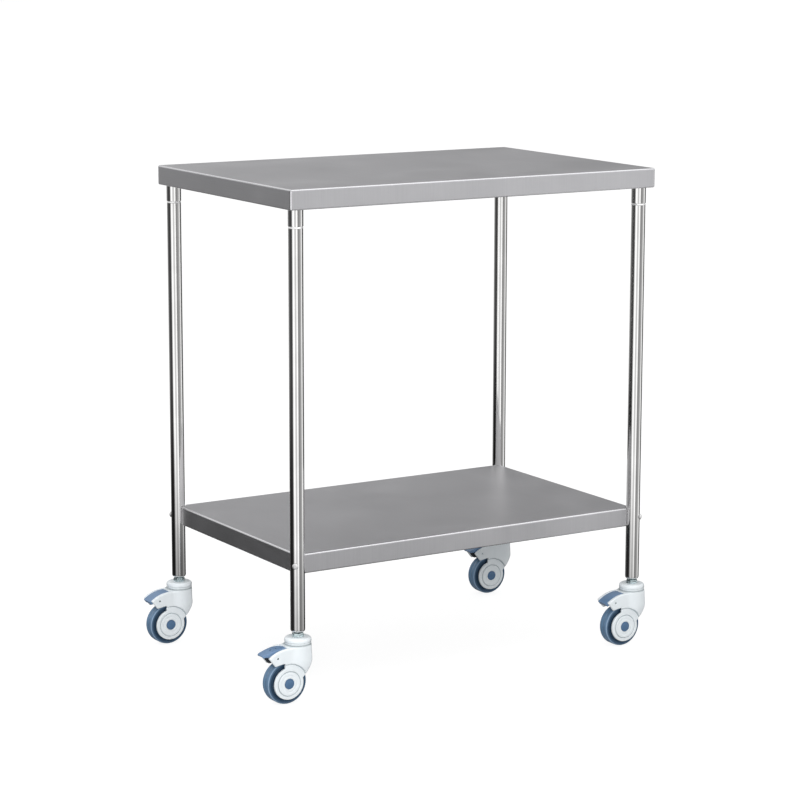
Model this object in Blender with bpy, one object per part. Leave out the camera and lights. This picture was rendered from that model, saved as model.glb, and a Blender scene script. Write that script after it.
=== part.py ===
"""Surgical instrument table: folded steel top and shelf on four tube legs with moulded casters.

Metres, +Z up. The origin is on the floor, in the middle of the whole object's box.
The front of the table faces -Y. All four casters trail towards -X, as they stand in use.
"""

import math

import bmesh
import bpy
from mathutils import Matrix

# Table
TABLE_HEIGHT = 0.8825
TOP_LENGTH = 0.750
TOP_DEPTH = 0.490
SHELF_HEIGHT = 0.2565       # from the floor up to the shelf's surface
LEG_INSET = 0.0212          # from the top's outer faces to the leg axes
GAP = 0.0003                # left between pieces that touch

# Folded sheet
SHEET = 0.0012
BEND_RADIUS = 0.003
TOP_SKIRT = 0.035
SHELF_SKIRT = 0.0345
FLANGE_CLEARANCE = 0.0006    # between the flange returned inwards and the leg sockets
BEND_STEPS = 3
CORNER_STEPS = 3
NOTCH_STEPS = 6
STIFFENER_WIDTH = 0.060
STIFFENER_DEPTH = 0.020
STIFFENER_FLANGE = 0.015

# Legs
TUBE_RADIUS = 0.0127
TUBE_WALL = 0.0012
TUBE_SIDES = 20
LEG_FOOT_GAP = 0.002        # bare stem between the hexagon and the leg's lower end
SWAGE_HEIGHT = 0.0045       # the lower end is spun in over this height
SWAGE_DEPTH = 0.0035
SWAGE_STEPS = 3
SOCKET_BELOW_SKIRT = 0.0305
SOCKET_RADIUS = 0.0132
SOCKET_WALL = 0.0045
JOINT_GROOVE = 0.0014       # height of the bare ring between socket and leg
JOINT_CHAMFER = 0.0009
SPIGOT_LENGTH = 0.025
GUSSET_THICKNESS = 0.003
GUSSET_REACH = 0.052        # from the leg axis inwards along each side
GUSSET_EDGE = 0.030         # length of the gusset's straight ends
INSERT_LENGTH = 0.024

# Shelf screws
SCREW_RADIUS = 0.0025
SCREW_HEAD_RADIUS = 0.0053
SCREW_HEAD_HEIGHT = 0.0036
SCREW_REACH = 0.022         # from the leg axis to the screw's end
SCREW_SIDES = 14
BOSS_RADIUS = 0.006
BOSS_LENGTH = 0.010

# Wheel
WHEEL_RADIUS = 0.0375
WHEEL_SIDES = 36
TYRE_WIDTH = 0.023
TYRE_THICKNESS = 0.0084
TYRE_CHAMFER = 0.0016
SHOULDER_RADIUS = 0.0032
SHOULDER_STEPS = 2
RIM_WIDTH = 0.019
RIM_DEPTH = 0.0038
WEB_THICKNESS = 0.010
WHEEL_HUB_RADIUS = 0.010
WHEEL_HUB_SIDE_GAP = 0.0008
CORE_SIDES = 24
AXLE_RADIUS = 0.004
AXLE_SIDES = 16

# Fork, seen from the side; points are (x, z) from the axle
TRAIL = 0.027               # from the swivel axis back to the axle
FORK_WIDTH = 0.038
WELL_WIDTH = 0.0264         # between the fork's arms
TYRE_CLEARANCE = 0.0025
CHEEK_RADIUS = 0.0293
ARM_TOP_RADIUS = 0.062      # the arms' upper edge is an arc about the axle
ARM_DROP = 0.0196           # from there down to the lower corner of the arm's end
ARM_END_ANGLE = 128.0       # degrees round the axle from +X
NOTCH_END = (-0.0097, 0.0333)
NOTCH_RADIUS = 0.003
NECK_CONTROL = (0.040, 0.021)
NECK_TOP = (0.044, 0.038)
NECK_ANGLE = 15.5           # where the neck leaves the round cheek
CHEEK_BACK = 0.014          # the cheeks end this far behind the swivel axis
STEP_RADIUS = 0.035         # the cheek's face is let in between these two radii
BOSS_FACE_RADIUS = 0.021
STEP_DEPTH = 0.0006
WELL_END = 0.0268           # from the swivel axis to the end wall of the pedal's well

# Fork head and swivel
HEAD_RADIUS = 0.0237
HEAD_RISE = 0.002           # from the arms' top up to the head's top
HEAD_HEIGHT = 0.0255        # below this the round head narrows into the cheeks
HEAD_SIDES = 36
NECK_DROP = 0.006           # height of each step of the narrowing
HEAD_NARROWING = (          # along X, along Y and backwards, as shares of the head's radius
    (1.0, 1.0, 0.0),
    (0.966, 0.979, 0.0),
    (0.865, 0.920, 0.02),
    (0.654, 0.823, 0.085),
    (0.380, 0.717, 0.17),
)
CAP_HEIGHT = 0.012
CAP_RADIUS = 0.0234
CAP_EDGE_RADIUS = 0.0046
CAP_GROOVE_RISE = 0.0031    # from the cap's lower edge up to the groove round it
CAP_GROOVE_DEPTH = 0.0009
CAP_SIDES = 24
PIVOT_RADIUS = 0.008
PIVOT_DEPTH = 0.0155        # into the fork's head
STEM_RADIUS = 0.006
STEM_SIDES = 16
WASHER_RADIUS = 0.0102
WASHER_THICKNESS = 0.0009
HEX_FLATS = 0.0185
HEX_HEIGHT = 0.0055

# Hub caps, cross pin, brake pedal and plain cover; points are (x, z) from the axle
HUB_CAP_RADIUS = 0.009
HUB_CAP_DEPTH = 0.003
HUB_CAP_DOME = 0.0007
PIN_RADIUS = 0.0015
PIN_ANGLE = 114.85                    # degrees round the axle, midway up the arm
PIN_SIDES = 12
PEDAL_PIVOT_BACK = 0.005              # pivot, behind the axle
PEDAL_PIVOT_DROP = 0.0085             # and below the arms' top
PEDAL_TRAVEL = 12.0                   # degrees from released to pressed
PEDAL_BOSS_RADIUS = 0.0042
TRUNNION_RADIUS = 0.002
TRUNNION_LENGTH = 0.003
PLATE_THICKNESS = 0.0032
PEDAL_SIDE_GAP = 0.0005
PEDAL_ROOT_GAP = 0.0021               # room for the root to swing
PEDAL_TIP_ANGLE = 136.8
PEDAL_TIP_RADIUS = 0.0644
PEDAL_TIP_THICKNESS = 0.0028
PEDAL_TIP_CORNER = 0.004
SHOE_END_ANGLE = 122.0
SHOE_CLEARANCE = 0.0004               # to the tyre when pressed
COVER_END_ANGLE = 130.5
COVER_LIP_ANGLE = 124.0
COVER_LIP_DEPTH = 0.0074
LUG_HALF_ANGLE = 4.6
LUG_WALL = 0.0031                     # from the pin's centre to the lug's foot
ARC_STEPS = 8

# Places worked out from the sizes
LEG_X = TOP_LENGTH / 2 - LEG_INSET
LEG_Y = TOP_DEPTH / 2 - LEG_INSET
RETURN_FLANGE = LEG_INSET - SOCKET_RADIUS - FLANGE_CLEARANCE
HEAD_TOP = WHEEL_RADIUS + ARM_TOP_RADIUS + HEAD_RISE
HEAD_SHOULDER = HEAD_TOP - HEAD_HEIGHT
CAP_FOOT = HEAD_TOP + GAP
CAP_TOP = CAP_FOOT + CAP_HEIGHT
CAP_GROOVE = CAP_FOOT + CAP_GROOVE_RISE
PIVOT_FOOT = HEAD_TOP - PIVOT_DEPTH
HEX_FOOT = CAP_TOP + GAP + WASHER_THICKNESS
HEX_TOP = HEX_FOOT + HEX_HEIGHT
LEG_FOOT = HEX_TOP + LEG_FOOT_GAP
SOCKET_FOOT = TABLE_HEIGHT - TOP_SKIRT - SOCKET_BELOW_SKIRT
LEG_HEAD = SOCKET_FOOT - JOINT_GROOVE
TUBE_BORE = TUBE_RADIUS - TUBE_WALL
INSERT_FOOT = LEG_FOOT + SWAGE_HEIGHT + GAP
SCREW_HEIGHT = SHELF_HEIGHT - SHELF_SKIRT / 2
NOTCH_WALL_RADIUS = TUBE_RADIUS + GAP
TYRE_BORE = WHEEL_RADIUS - TYRE_THICKNESS
AXLE_PLACE = (-TRAIL, WHEEL_RADIUS)
HALF_FORK = FORK_WIDTH / 2
HALF_WELL = WELL_WIDTH / 2
WELL_END_X = TRAIL - WELL_END
ARM_LOWER_RADIUS = ARM_TOP_RADIUS - ARM_DROP
PIN_ARM = (ARM_TOP_RADIUS + ARM_LOWER_RADIUS) / 2
PIN_PLACE = (
    AXLE_PLACE[0] + PIN_ARM * math.cos(math.radians(PIN_ANGLE)),
    AXLE_PLACE[1] + PIN_ARM * math.sin(math.radians(PIN_ANGLE)),
)
PEDAL_PIVOT = (-PEDAL_PIVOT_BACK, ARM_TOP_RADIUS - PEDAL_PIVOT_DROP)
CORNERS = {
    "front_left": (-1, -1),
    "front_right": (1, -1),
    "back_left": (-1, 1),
    "back_right": (1, 1),
}
BRAKED = ("front_left", "back_right")

# Colour, roughness and metallic value of each finish
FINISHES = {
    "brushed_steel": ((0.56, 0.56, 0.57), 0.34, 1.0),
    "polished_steel": ((0.66, 0.66, 0.67), 0.16, 1.0),
    "zinc": ((0.60, 0.66, 0.68), 0.30, 1.0),
    "white_plastic": ((0.83, 0.86, 0.88), 0.42, 0.0),
    "blue_plastic": ((0.17, 0.24, 0.38), 0.45, 0.0),
    "tyre_rubber": ((0.10, 0.14, 0.21), 0.62, 0.0),
}


def material(name, finish):
    """A Principled material in one of the finishes."""
    colour, roughness, metallic = FINISHES[finish]
    made = bpy.data.materials.new(name)
    made.use_nodes = True
    shader = made.node_tree.nodes["Principled BSDF"]
    shader.inputs["Base Color"].default_value = (*colour, 1)
    shader.inputs["Roughness"].default_value = roughness
    shader.inputs["Metallic"].default_value = metallic
    return made


def mesh_from(bm, name, finish):
    """Turn a bmesh into a mesh with outward faces, smooth where it is round."""
    bmesh.ops.recalc_face_normals(bm, faces=bm.faces)
    mesh = bpy.data.meshes.new(name)
    bm.to_mesh(mesh)
    bm.free()
    mesh.materials.append(material(name, finish))
    mesh.shade_smooth()
    mesh.set_sharp_from_angle(angle=math.radians(32))
    return mesh


def place(name, mesh, parent, location=(0, 0, 0), tilt=0.0, turn=0.0):
    """Put a mesh in the scene as one named piece, tilted about Y and then turned about Z."""
    piece = bpy.data.objects.new(name, mesh)
    bpy.context.collection.objects.link(piece)
    piece.parent = parent
    piece.location = location
    piece.rotation_euler = (0, tilt, turn)
    return piece


def axis_empty(name, parent, location):
    """An empty that carries what turns about an axis."""
    return place(name, None, parent, location)


def combine(base, tool, operation):
    """Exact boolean of two bmeshes; both are used up."""
    bodies = []
    for bm in (base, tool):
        bmesh.ops.recalc_face_normals(bm, faces=bm.faces)
        mesh = bpy.data.meshes.new("blank")
        bm.to_mesh(mesh)
        bm.free()
        bodies.append(place("blank", mesh, None))
    body, cutter = bodies
    modifier = body.modifiers.new("combine", "BOOLEAN")
    modifier.operation = operation
    modifier.solver = "EXACT"
    modifier.object = cutter
    evaluated = body.evaluated_get(bpy.context.evaluated_depsgraph_get())
    result = bmesh.new()
    result.from_mesh(evaluated.to_mesh())
    evaluated.to_mesh_clear()
    for used in bodies:
        mesh = used.data
        bpy.data.objects.remove(used)
        bpy.data.meshes.remove(mesh)
    bmesh.ops.remove_doubles(result, verts=result.verts, dist=1e-6)
    return result


def cut(base, *tools):
    for tool in tools:
        base = combine(base, tool, "DIFFERENCE")
    return base


def join(base, *tools):
    for tool in tools:
        base = combine(base, tool, "UNION")
    return base


def loft(loops, ring=False):
    """Skin equal loops of points; a ring closes on itself, otherwise the two ends are filled."""
    bm = bmesh.new()
    rows = [[bm.verts.new(point) for point in loop] for loop in loops]
    following = rows[1:] + rows[:1] if ring else rows[1:]
    for row, after in zip(rows, following):
        for i in range(len(row)):
            j = (i + 1) % len(row)
            bm.faces.new((row[i], row[j], after[j], after[i]))
    if not ring:
        bm.faces.new(rows[0])
        bm.faces.new(rows[-1])
    return bm


def turned(profile, sides, ring=False):
    """Turn (radius, height) points about Z."""
    angles = [2 * math.pi * i / sides for i in range(sides)]
    loops = [[(r * math.cos(a), r * math.sin(a), h) for a in angles] for r, h in profile]
    return loft(loops, ring)


def moved(bm, matrix):
    bmesh.ops.transform(bm, matrix=matrix, verts=bm.verts)
    return bm


def across(bm, centre=(0, 0)):
    """Lay down a shape turned about Z, so that its axis runs along Y through (x, z)."""
    place_at = Matrix.Translation((centre[0], 0, centre[1]))
    return moved(bm, place_at @ Matrix.Rotation(math.pi / 2, 4, "X"))


def rod(radius, half_length, sides, centre=(0, 0)):
    """A plain round bar along Y through (x, z)."""
    return across(turned([(radius, -half_length), (radius, half_length)], sides), centre)


def prism(outline, half_width):
    """Extrude an outline of (x, z) points across Y."""
    return loft([[(x, y, z) for x, z in outline] for y in (-half_width, half_width)])


def slab(outline, low, high):
    """Extrude an outline of (x, y) points up Z."""
    return loft([[(x, y, z) for x, y in outline] for z in (low, high)])


def arc(centre, radius, start, end, steps):
    """Points round a centre from one angle in degrees to another, both ends included."""
    angles = [math.radians(start + (end - start) * i / steps) for i in range(steps + 1)]
    return [(centre[0] + radius * math.cos(a), centre[1] + radius * math.sin(a)) for a in angles]


def polar(radius, degrees):
    """A point round the axle."""
    angle = math.radians(degrees)
    return (radius * math.cos(angle), radius * math.sin(angle))


def curve(start, control, end, steps):
    """Points on a quadratic curve, both ends included."""
    points = []
    for i in range(steps + 1):
        t = i / steps
        weights = ((1 - t) ** 2, 2 * t * (1 - t), t * t)
        points.append(tuple(sum(w * p[k] for w, p in zip(weights, (start, control, end))) for k in (0, 1)))
    return points


def shifted(points, origin):
    """Points measured from another origin."""
    return [(x - origin[0], z - origin[1]) for x, z in points]


def from_axle(points):
    """Points given from the axle, measured from the swivel axis at the floor."""
    return shifted(points, (-AXLE_PLACE[0], -AXLE_PLACE[1]))


def quarters(half_x, half_y):
    """The four corners of a rectangle in turn, from the +X +Y one anticlockwise."""
    return [(half_x, half_y), (-half_x, half_y), (-half_x, -half_y), (half_x, -half_y)]


def rounded_plan(inset, length, depth):
    """Plan outline of the top, drawn in by an inset, with its welded corners."""
    radius = max(BEND_RADIUS - inset, BEND_RADIUS / 10)
    points = []
    for quarter, centre in enumerate(quarters(length / 2 - inset - radius, depth / 2 - inset - radius)):
        points += arc(centre, radius, 90 * quarter, 90 * quarter + 90, CORNER_STEPS)
    return points


def notched_plan(inset, length, depth):
    """Plan outline of the shelf, drawn in by an inset, with a round notch where each leg nests."""
    radius = NOTCH_WALL_RADIUS + inset
    lean = math.degrees(math.asin(inset / radius))
    points = []
    for quarter, corner in enumerate(quarters(length / 2, depth / 2)):
        start = 270 + 90 * quarter - lean
        points += arc(corner, radius, start, start - 90 + 2 * lean, NOTCH_STEPS)
    return points


def folded_pan(plan, length, depth, skirt, surface):
    """A sheet pan open below: top face, bent skirts and a flange returned inwards."""
    outer, inner = BEND_RADIUS, BEND_RADIUS - SHEET
    section = arc((outer, -outer), outer, 90, 180, BEND_STEPS)
    section += arc((outer, outer - skirt), outer, 180, 270, BEND_STEPS)
    section += [(RETURN_FLANGE, -skirt), (RETURN_FLANGE, SHEET - skirt)]
    section += arc((outer, outer - skirt), inner, 270, 180, BEND_STEPS)
    section += arc((outer, -outer), inner, 180, 90, BEND_STEPS)
    loops = [[(x, y, surface + z) for x, y in plan(inset, length, depth)] for inset, z in section]
    return loft(loops)


def hat_channel(length, surface):
    """A stiffener welded lengthwise under a panel's sheet."""
    wall = STIFFENER_WIDTH / 2
    edge = wall + STIFFENER_FLANGE
    upper = [(edge, 0), (wall - SHEET, 0), (wall - SHEET, SHEET - STIFFENER_DEPTH)]
    lower = [(wall, -STIFFENER_DEPTH), (wall, -SHEET), (edge, -SHEET)]
    half = upper[::-1] + [(edge, -SHEET)] + lower[1::-1]
    outline = half + [(-y, z) for y, z in half[::-1]]
    seat = surface - SHEET - GAP
    reach = length / 2 - BEND_RADIUS - GAP
    return loft([[(x, y, seat + z) for y, z in outline] for x in (-reach, reach)])


def leg_socket(corner):
    """Gusset under the top with a socket tube and a spigot that enters the leg."""
    bore = SOCKET_RADIUS - SOCKET_WALL
    spigot = TUBE_BORE - GAP
    seat = TABLE_HEIGHT - SHEET - GAP
    profile = [
        (bore, seat - GUSSET_THICKNESS / 2),
        (SOCKET_RADIUS, seat - GUSSET_THICKNESS / 2),
        (SOCKET_RADIUS, SOCKET_FOOT + JOINT_CHAMFER),
        (SOCKET_RADIUS - JOINT_CHAMFER, SOCKET_FOOT),
        (spigot, SOCKET_FOOT),
        (spigot, LEG_HEAD - SPIGOT_LENGTH),
        (bore, LEG_HEAD - SPIGOT_LENGTH),
    ]
    out = LEG_INSET - BEND_RADIUS - GAP
    plate = [
        (out, out),
        (-GUSSET_REACH, out),
        (-GUSSET_REACH, out - GUSSET_EDGE),
        (out - GUSSET_EDGE, -GUSSET_REACH),
        (out, -GUSSET_REACH),
    ]
    outline = [(corner[0] * x, corner[1] * y) for x, y in plate]
    return join(turned(profile, TUBE_SIDES, ring=True), slab(outline, seat - GUSSET_THICKNESS, seat))


def screw_hole(start, end):
    """Cutter for a shelf screw along +X at its height, from the leg axis."""
    bm = turned([(SCREW_RADIUS + GAP, start), (SCREW_RADIUS + GAP, end)], SCREW_SIDES)
    return moved(bm, Matrix.Translation((0, 0, SCREW_HEIGHT)) @ Matrix.Rotation(math.pi / 2, 4, "Y"))


def outward(corner):
    """Angle of the diagonal that leaves the table at a corner."""
    return math.atan2(corner[1], corner[0])


def leg_tube(corner):
    """Tube with a chamfered head, a spun-in foot and a cross hole for the shelf screw."""
    foot = [
        (TUBE_RADIUS - SWAGE_DEPTH * (1 - x), LEG_FOOT + SWAGE_HEIGHT * (1 - z))
        for x, z in arc((0, 0), 1, 0, 90, SWAGE_STEPS)
    ]
    profile = [(TUBE_BORE, LEG_HEAD), (TUBE_RADIUS - JOINT_CHAMFER, LEG_HEAD)]
    profile.append((TUBE_RADIUS, LEG_HEAD - JOINT_CHAMFER))
    profile += foot
    profile += [(foot[-1][0] - TUBE_WALL, LEG_FOOT), (TUBE_BORE, LEG_FOOT + SWAGE_HEIGHT)]
    hole = screw_hole(-2 * TUBE_RADIUS, 2 * TUBE_RADIUS)
    turn = Matrix.Rotation(outward(corner), 4, "Z")
    return cut(turned(profile, TUBE_SIDES, ring=True), moved(hole, turn))


def leg_insert():
    """Threaded plug that rests on the leg's spun-in foot and takes the caster's stem."""
    outer, bore = TUBE_BORE - GAP, STEM_RADIUS + GAP
    top = INSERT_FOOT + INSERT_LENGTH
    profile = [(bore, INSERT_FOOT), (outer, INSERT_FOOT), (outer, top), (bore, top)]
    return turned(profile, TUBE_SIDES, ring=True)


def shelf_screw():
    """Dome-head screw along +X from the leg axis, head outside."""
    seat = TUBE_RADIUS + GAP
    profile = [(SCREW_RADIUS, -SCREW_REACH), (SCREW_RADIUS, seat), (SCREW_HEAD_RADIUS, seat)]
    profile += [
        (SCREW_HEAD_RADIUS * x, seat + SCREW_HEAD_HEIGHT * z)
        for x, z in arc((0, 0), 1, 20, 75, 3)
    ]
    return turned(profile, SCREW_SIDES)


def shelf_panel():
    """Folded shelf with a tapped boss behind the wall of each notch."""
    bm = folded_pan(notched_plan, 2 * LEG_X, 2 * LEG_Y, SHELF_SKIRT, SHELF_HEIGHT)
    wall = NOTCH_WALL_RADIUS + SHEET / 2
    for corner in CORNERS.values():
        inward = Matrix.Rotation(outward(corner) + math.pi, 4, "Z")
        at_leg = Matrix.Translation((corner[0] * LEG_X, corner[1] * LEG_Y, 0)) @ inward
        boss = turned([(BOSS_RADIUS, TUBE_BORE), (BOSS_RADIUS, wall + BOSS_LENGTH)], SCREW_SIDES)
        moved(boss, Matrix.Translation((0, 0, SCREW_HEIGHT)) @ Matrix.Rotation(math.pi / 2, 4, "Y"))
        low, high = SCREW_HEIGHT - 2 * BOSS_RADIUS, SCREW_HEIGHT + 2 * BOSS_RADIUS
        boss = cut(boss, turned([(wall, low), (wall, high)], TUBE_SIDES))
        bm = join(bm, moved(boss, at_leg))
        bm = cut(bm, moved(screw_hole(TUBE_BORE, wall + 2 * BOSS_LENGTH), at_leg))
    return bm


def caster_stem():
    """Threaded stem with a hexagon, a washer face and the pivot that the fork turns on."""
    seat = CAP_TOP + GAP
    profile = [
        (PIVOT_RADIUS, PIVOT_FOOT),
        (PIVOT_RADIUS, seat),
        (WASHER_RADIUS, seat),
        (WASHER_RADIUS, HEX_FOOT),
        (STEM_RADIUS, HEX_FOOT),
        (STEM_RADIUS, INSERT_FOOT + INSERT_LENGTH),
    ]
    corner = HEX_FLATS / 2 / math.cos(math.pi / 6)
    hexagon = turned([(corner, HEX_FOOT - WASHER_THICKNESS / 2), (corner, HEX_TOP)], 6)
    return join(turned(profile, STEM_SIDES), hexagon)


def swivel_cap():
    """Round plastic cap over the swivel bearing, with a groove above its lower rim."""
    bore = PIVOT_RADIUS + GAP
    rim = CAP_RADIUS - CAP_GROOVE_DEPTH
    centre = (CAP_RADIUS - CAP_EDGE_RADIUS, CAP_TOP - CAP_EDGE_RADIUS)
    profile = [(bore, CAP_TOP)] + arc(centre, CAP_EDGE_RADIUS, 90, 0, 3)
    profile += [
        (CAP_RADIUS, CAP_GROOVE + CAP_GROOVE_DEPTH),
        (rim, CAP_GROOVE),
        (CAP_RADIUS - CAP_GROOVE_DEPTH / 2, CAP_GROOVE - CAP_GROOVE_DEPTH),
        (CAP_RADIUS - CAP_GROOVE_DEPTH / 2, CAP_FOOT),
        (bore, CAP_FOOT),
    ]
    return turned(profile, CAP_SIDES, ring=True)


def fork_outline():
    """Side view of a cheek from the axle: arm, notch, round cheek, neck and back."""
    head = TRAIL + CHEEK_BACK
    outline = arc((0, 0), ARM_TOP_RADIUS, 90, ARM_END_ANGLE, ARC_STEPS)
    outline.append(polar(ARM_LOWER_RADIUS, ARM_END_ANGLE))
    outline += arc(NOTCH_END, NOTCH_RADIUS, 90, -40, 5)
    below = math.degrees(math.acos(outline[-1][0] / CHEEK_RADIUS))
    outline += arc((0, 0), CHEEK_RADIUS, below, 360 + NECK_ANGLE, 24)
    outline += curve(outline[-1], NECK_CONTROL, NECK_TOP, 4)[1:]
    outline.append((head, ARM_TOP_RADIUS))
    return outline


def fork_head():
    """Round head that narrows below its shoulder until it is lost between the cheeks."""
    rings = [(HEAD_TOP, 1.0, 1.0, 0.0)]
    for step, scale in enumerate(HEAD_NARROWING):
        rings.append((HEAD_SHOULDER - step * NECK_DROP, *scale))
    round_plan = arc((0, 0), HEAD_RADIUS, 0, 360 - 360 / HEAD_SIDES, HEAD_SIDES - 1)
    loops = []
    for height, along, wide, back in rings:
        loops.append([(along * x - back * HEAD_RADIUS, wide * y, height) for x, y in round_plan])
    return loft(loops)


def fork():
    """Moulded fork: two cheeks with pedal arms under a round swivel head."""
    axle = AXLE_PLACE
    body = join(prism(from_axle(fork_outline()), HALF_FORK), fork_head())
    wheel_well = rod(WHEEL_RADIUS + TYRE_CLEARANCE, HALF_WELL, WHEEL_SIDES, axle)
    far = 2 * ARM_TOP_RADIUS
    pedal_well = prism(from_axle([(WELL_END_X, far), (-far, far), (-far, 0), (WELL_END_X, 0)]), HALF_WELL)
    body = cut(body, wheel_well, pedal_well)
    for side in (-1, 1):
        depths = (side * (HALF_FORK - STEP_DEPTH), side * 2 * HALF_FORK)
        let_in = [(BOSS_FACE_RADIUS, depths[0]), (STEP_RADIUS, depths[0])]
        let_in += [(STEP_RADIUS, depths[1]), (BOSS_FACE_RADIUS, depths[1])]
        seat = side * (HALF_FORK - HUB_CAP_DEPTH - GAP)
        counterbore = [(HUB_CAP_RADIUS + GAP, seat), (HUB_CAP_RADIUS + GAP, depths[1])]
        body = cut(body, across(turned(let_in, WHEEL_SIDES, ring=True), axle))
        body = cut(body, across(turned(counterbore, AXLE_SIDES), axle))
    through = 2 * HALF_FORK
    pivot_bore = [(PIVOT_RADIUS + GAP, PIVOT_FOOT - GAP), (PIVOT_RADIUS + GAP, HEAD_TOP + HEAD_RADIUS)]
    trunnion_end = HALF_WELL + TRUNNION_LENGTH + GAP
    return cut(
        body,
        rod(AXLE_RADIUS + GAP, through, AXLE_SIDES, axle),
        rod(PIN_RADIUS + GAP, through, PIN_SIDES, PIN_PLACE),
        rod(TRUNNION_RADIUS + GAP, trunnion_end, PIN_SIDES, from_axle([PEDAL_PIVOT])[0]),
        turned(pivot_bore, STEM_SIDES),
    )


def tyre():
    """Soft tyre with round shoulders, turned about Y."""
    half = TYRE_WIDTH / 2
    shoulder = (WHEEL_RADIUS - SHOULDER_RADIUS, half - SHOULDER_RADIUS)
    side = [(TYRE_BORE, half - TYRE_CHAMFER), (TYRE_BORE + TYRE_CHAMFER, half)]
    side += arc(shoulder, SHOULDER_RADIUS, 90, 0, SHOULDER_STEPS)
    return across(turned(side + [(r, -h) for r, h in side[::-1]], WHEEL_SIDES, ring=True))


def wheel_core():
    """Hub, thin web and rim, turned about Y."""
    rim = TYRE_BORE - GAP
    hub_end = HALF_WELL - WHEEL_HUB_SIDE_GAP
    side = [
        (AXLE_RADIUS + GAP, hub_end),
        (WHEEL_HUB_RADIUS, hub_end),
        (WHEEL_HUB_RADIUS, WEB_THICKNESS / 2),
        (rim - RIM_DEPTH, WEB_THICKNESS / 2),
        (rim, RIM_WIDTH / 2),
    ]
    return across(turned(side + [(r, -h) for r, h in side[::-1]], CORE_SIDES, ring=True))


def hub_cap(side):
    """Domed cap let into the cheek over the axle's end; side is -1 for the front face."""
    inner = HALF_FORK - HUB_CAP_DEPTH
    profile = [(HUB_CAP_RADIUS, inner), (HUB_CAP_RADIUS, HALF_FORK)]
    profile.append((0.7 * HUB_CAP_RADIUS, HALF_FORK + HUB_CAP_DOME))
    return across(turned([(r, -side * h) for r, h in profile], AXLE_SIDES))


def pedal_outline():
    """Side view of the pressed brake pedal from the axle: plate, tongue, shoe and pivot boss."""
    root = WELL_END_X - PEDAL_ROOT_GAP
    root_angle = math.degrees(math.acos(root / ARM_TOP_RADIUS))
    under = ARM_TOP_RADIUS - PLATE_THICKNESS
    shoe_start = PIN_ANGLE + math.degrees(math.asin((PIN_RADIUS + GAP) / PIN_ARM))
    shoe_foot = WHEEL_RADIUS + SHOE_CLEARANCE
    boss_side = math.degrees(math.acos((PEDAL_PIVOT[0] - PEDAL_BOSS_RADIUS) / under))
    tip = polar(PEDAL_TIP_RADIUS, PEDAL_TIP_ANGLE)
    tip_under = polar(PEDAL_TIP_RADIUS - PEDAL_TIP_THICKNESS, PEDAL_TIP_ANGLE)
    mid_angle = (SHOE_END_ANGLE + PEDAL_TIP_ANGLE) / 2
    outline = arc((0, 0), ARM_TOP_RADIUS, root_angle, SHOE_END_ANGLE, ARC_STEPS)
    outline.append(tip)
    heel = polar(under - PLATE_THICKNESS, SHOE_END_ANGLE)
    outline += curve(tip_under, polar(under, mid_angle - 1), heel, 3)
    outline += arc((0, 0), shoe_foot, SHOE_END_ANGLE, shoe_start, 3)
    outline += arc((0, 0), under, shoe_start, boss_side, 4)
    outline += arc(PEDAL_PIVOT, PEDAL_BOSS_RADIUS, 180, 360, 6)
    return outline


def brake_pedal():
    """Pedal about its pivot, pressed: plate between the arms, tongue past them, shoe, trunnions."""
    body = prism(shifted(pedal_outline(), PEDAL_PIVOT), HALF_WELL - PEDAL_SIDE_GAP)
    half, corner = HALF_WELL - PEDAL_SIDE_GAP, PEDAL_TIP_CORNER
    left = polar(PEDAL_TIP_RADIUS, PEDAL_TIP_ANGLE)[0] - PEDAL_PIVOT[0]
    plan = [(2 * ARM_TOP_RADIUS, -half - GAP), (2 * ARM_TOP_RADIUS, half + GAP)]
    plan += arc((left + corner, half - corner), corner, 90, 180, 3)
    plan += arc((left + corner, corner - half), corner, 180, 270, 3)
    body = combine(body, slab(plan, -ARM_TOP_RADIUS, ARM_TOP_RADIUS), "INTERSECT")
    return join(body, rod(TRUNNION_RADIUS, HALF_WELL + TRUNNION_LENGTH, PIN_SIDES))


def pedal_cover():
    """Fixed cover that closes the well of a caster without a brake, with a lug round the pin."""
    root = WELL_END_X - GAP
    root_angle = math.degrees(math.acos(root / ARM_TOP_RADIUS))
    under = ARM_TOP_RADIUS - PLATE_THICKNESS
    outline = arc((0, 0), ARM_TOP_RADIUS, root_angle, COVER_END_ANGLE, ARC_STEPS)
    outline.append(polar(ARM_TOP_RADIUS - COVER_LIP_DEPTH, COVER_END_ANGLE))
    outline.append(polar(ARM_TOP_RADIUS - COVER_LIP_DEPTH, COVER_LIP_ANGLE))
    outline.append(polar(under, COVER_LIP_ANGLE))
    outline.append(polar(under, PIN_ANGLE + LUG_HALF_ANGLE))
    outline += arc((0, 0), PIN_ARM - LUG_WALL, PIN_ANGLE + LUG_HALF_ANGLE, PIN_ANGLE - LUG_HALF_ANGLE, 2)
    outline += arc((0, 0), under, PIN_ANGLE - LUG_HALF_ANGLE, root_angle, 4)
    body = prism(from_axle(outline), HALF_WELL - GAP)
    return cut(body, rod(PIN_RADIUS + GAP, 2 * HALF_WELL, PIN_SIDES, PIN_PLACE))


def table_offset():
    """How far the table's middle lies from the middle of the whole object's box."""
    angle = math.radians(PEDAL_TRAVEL)
    released = [x * math.cos(angle) + z * math.sin(angle) for x, z in shifted(pedal_outline(), PEDAL_PIVOT)]
    pedal_reach = TRAIL - PEDAL_PIVOT[0] - min(released)
    low = -LEG_X - max(pedal_reach, TRAIL + WHEEL_RADIUS)
    high = max(TOP_LENGTH / 2, LEG_X + HEAD_RADIUS)
    return -(low + high) / 2


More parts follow.
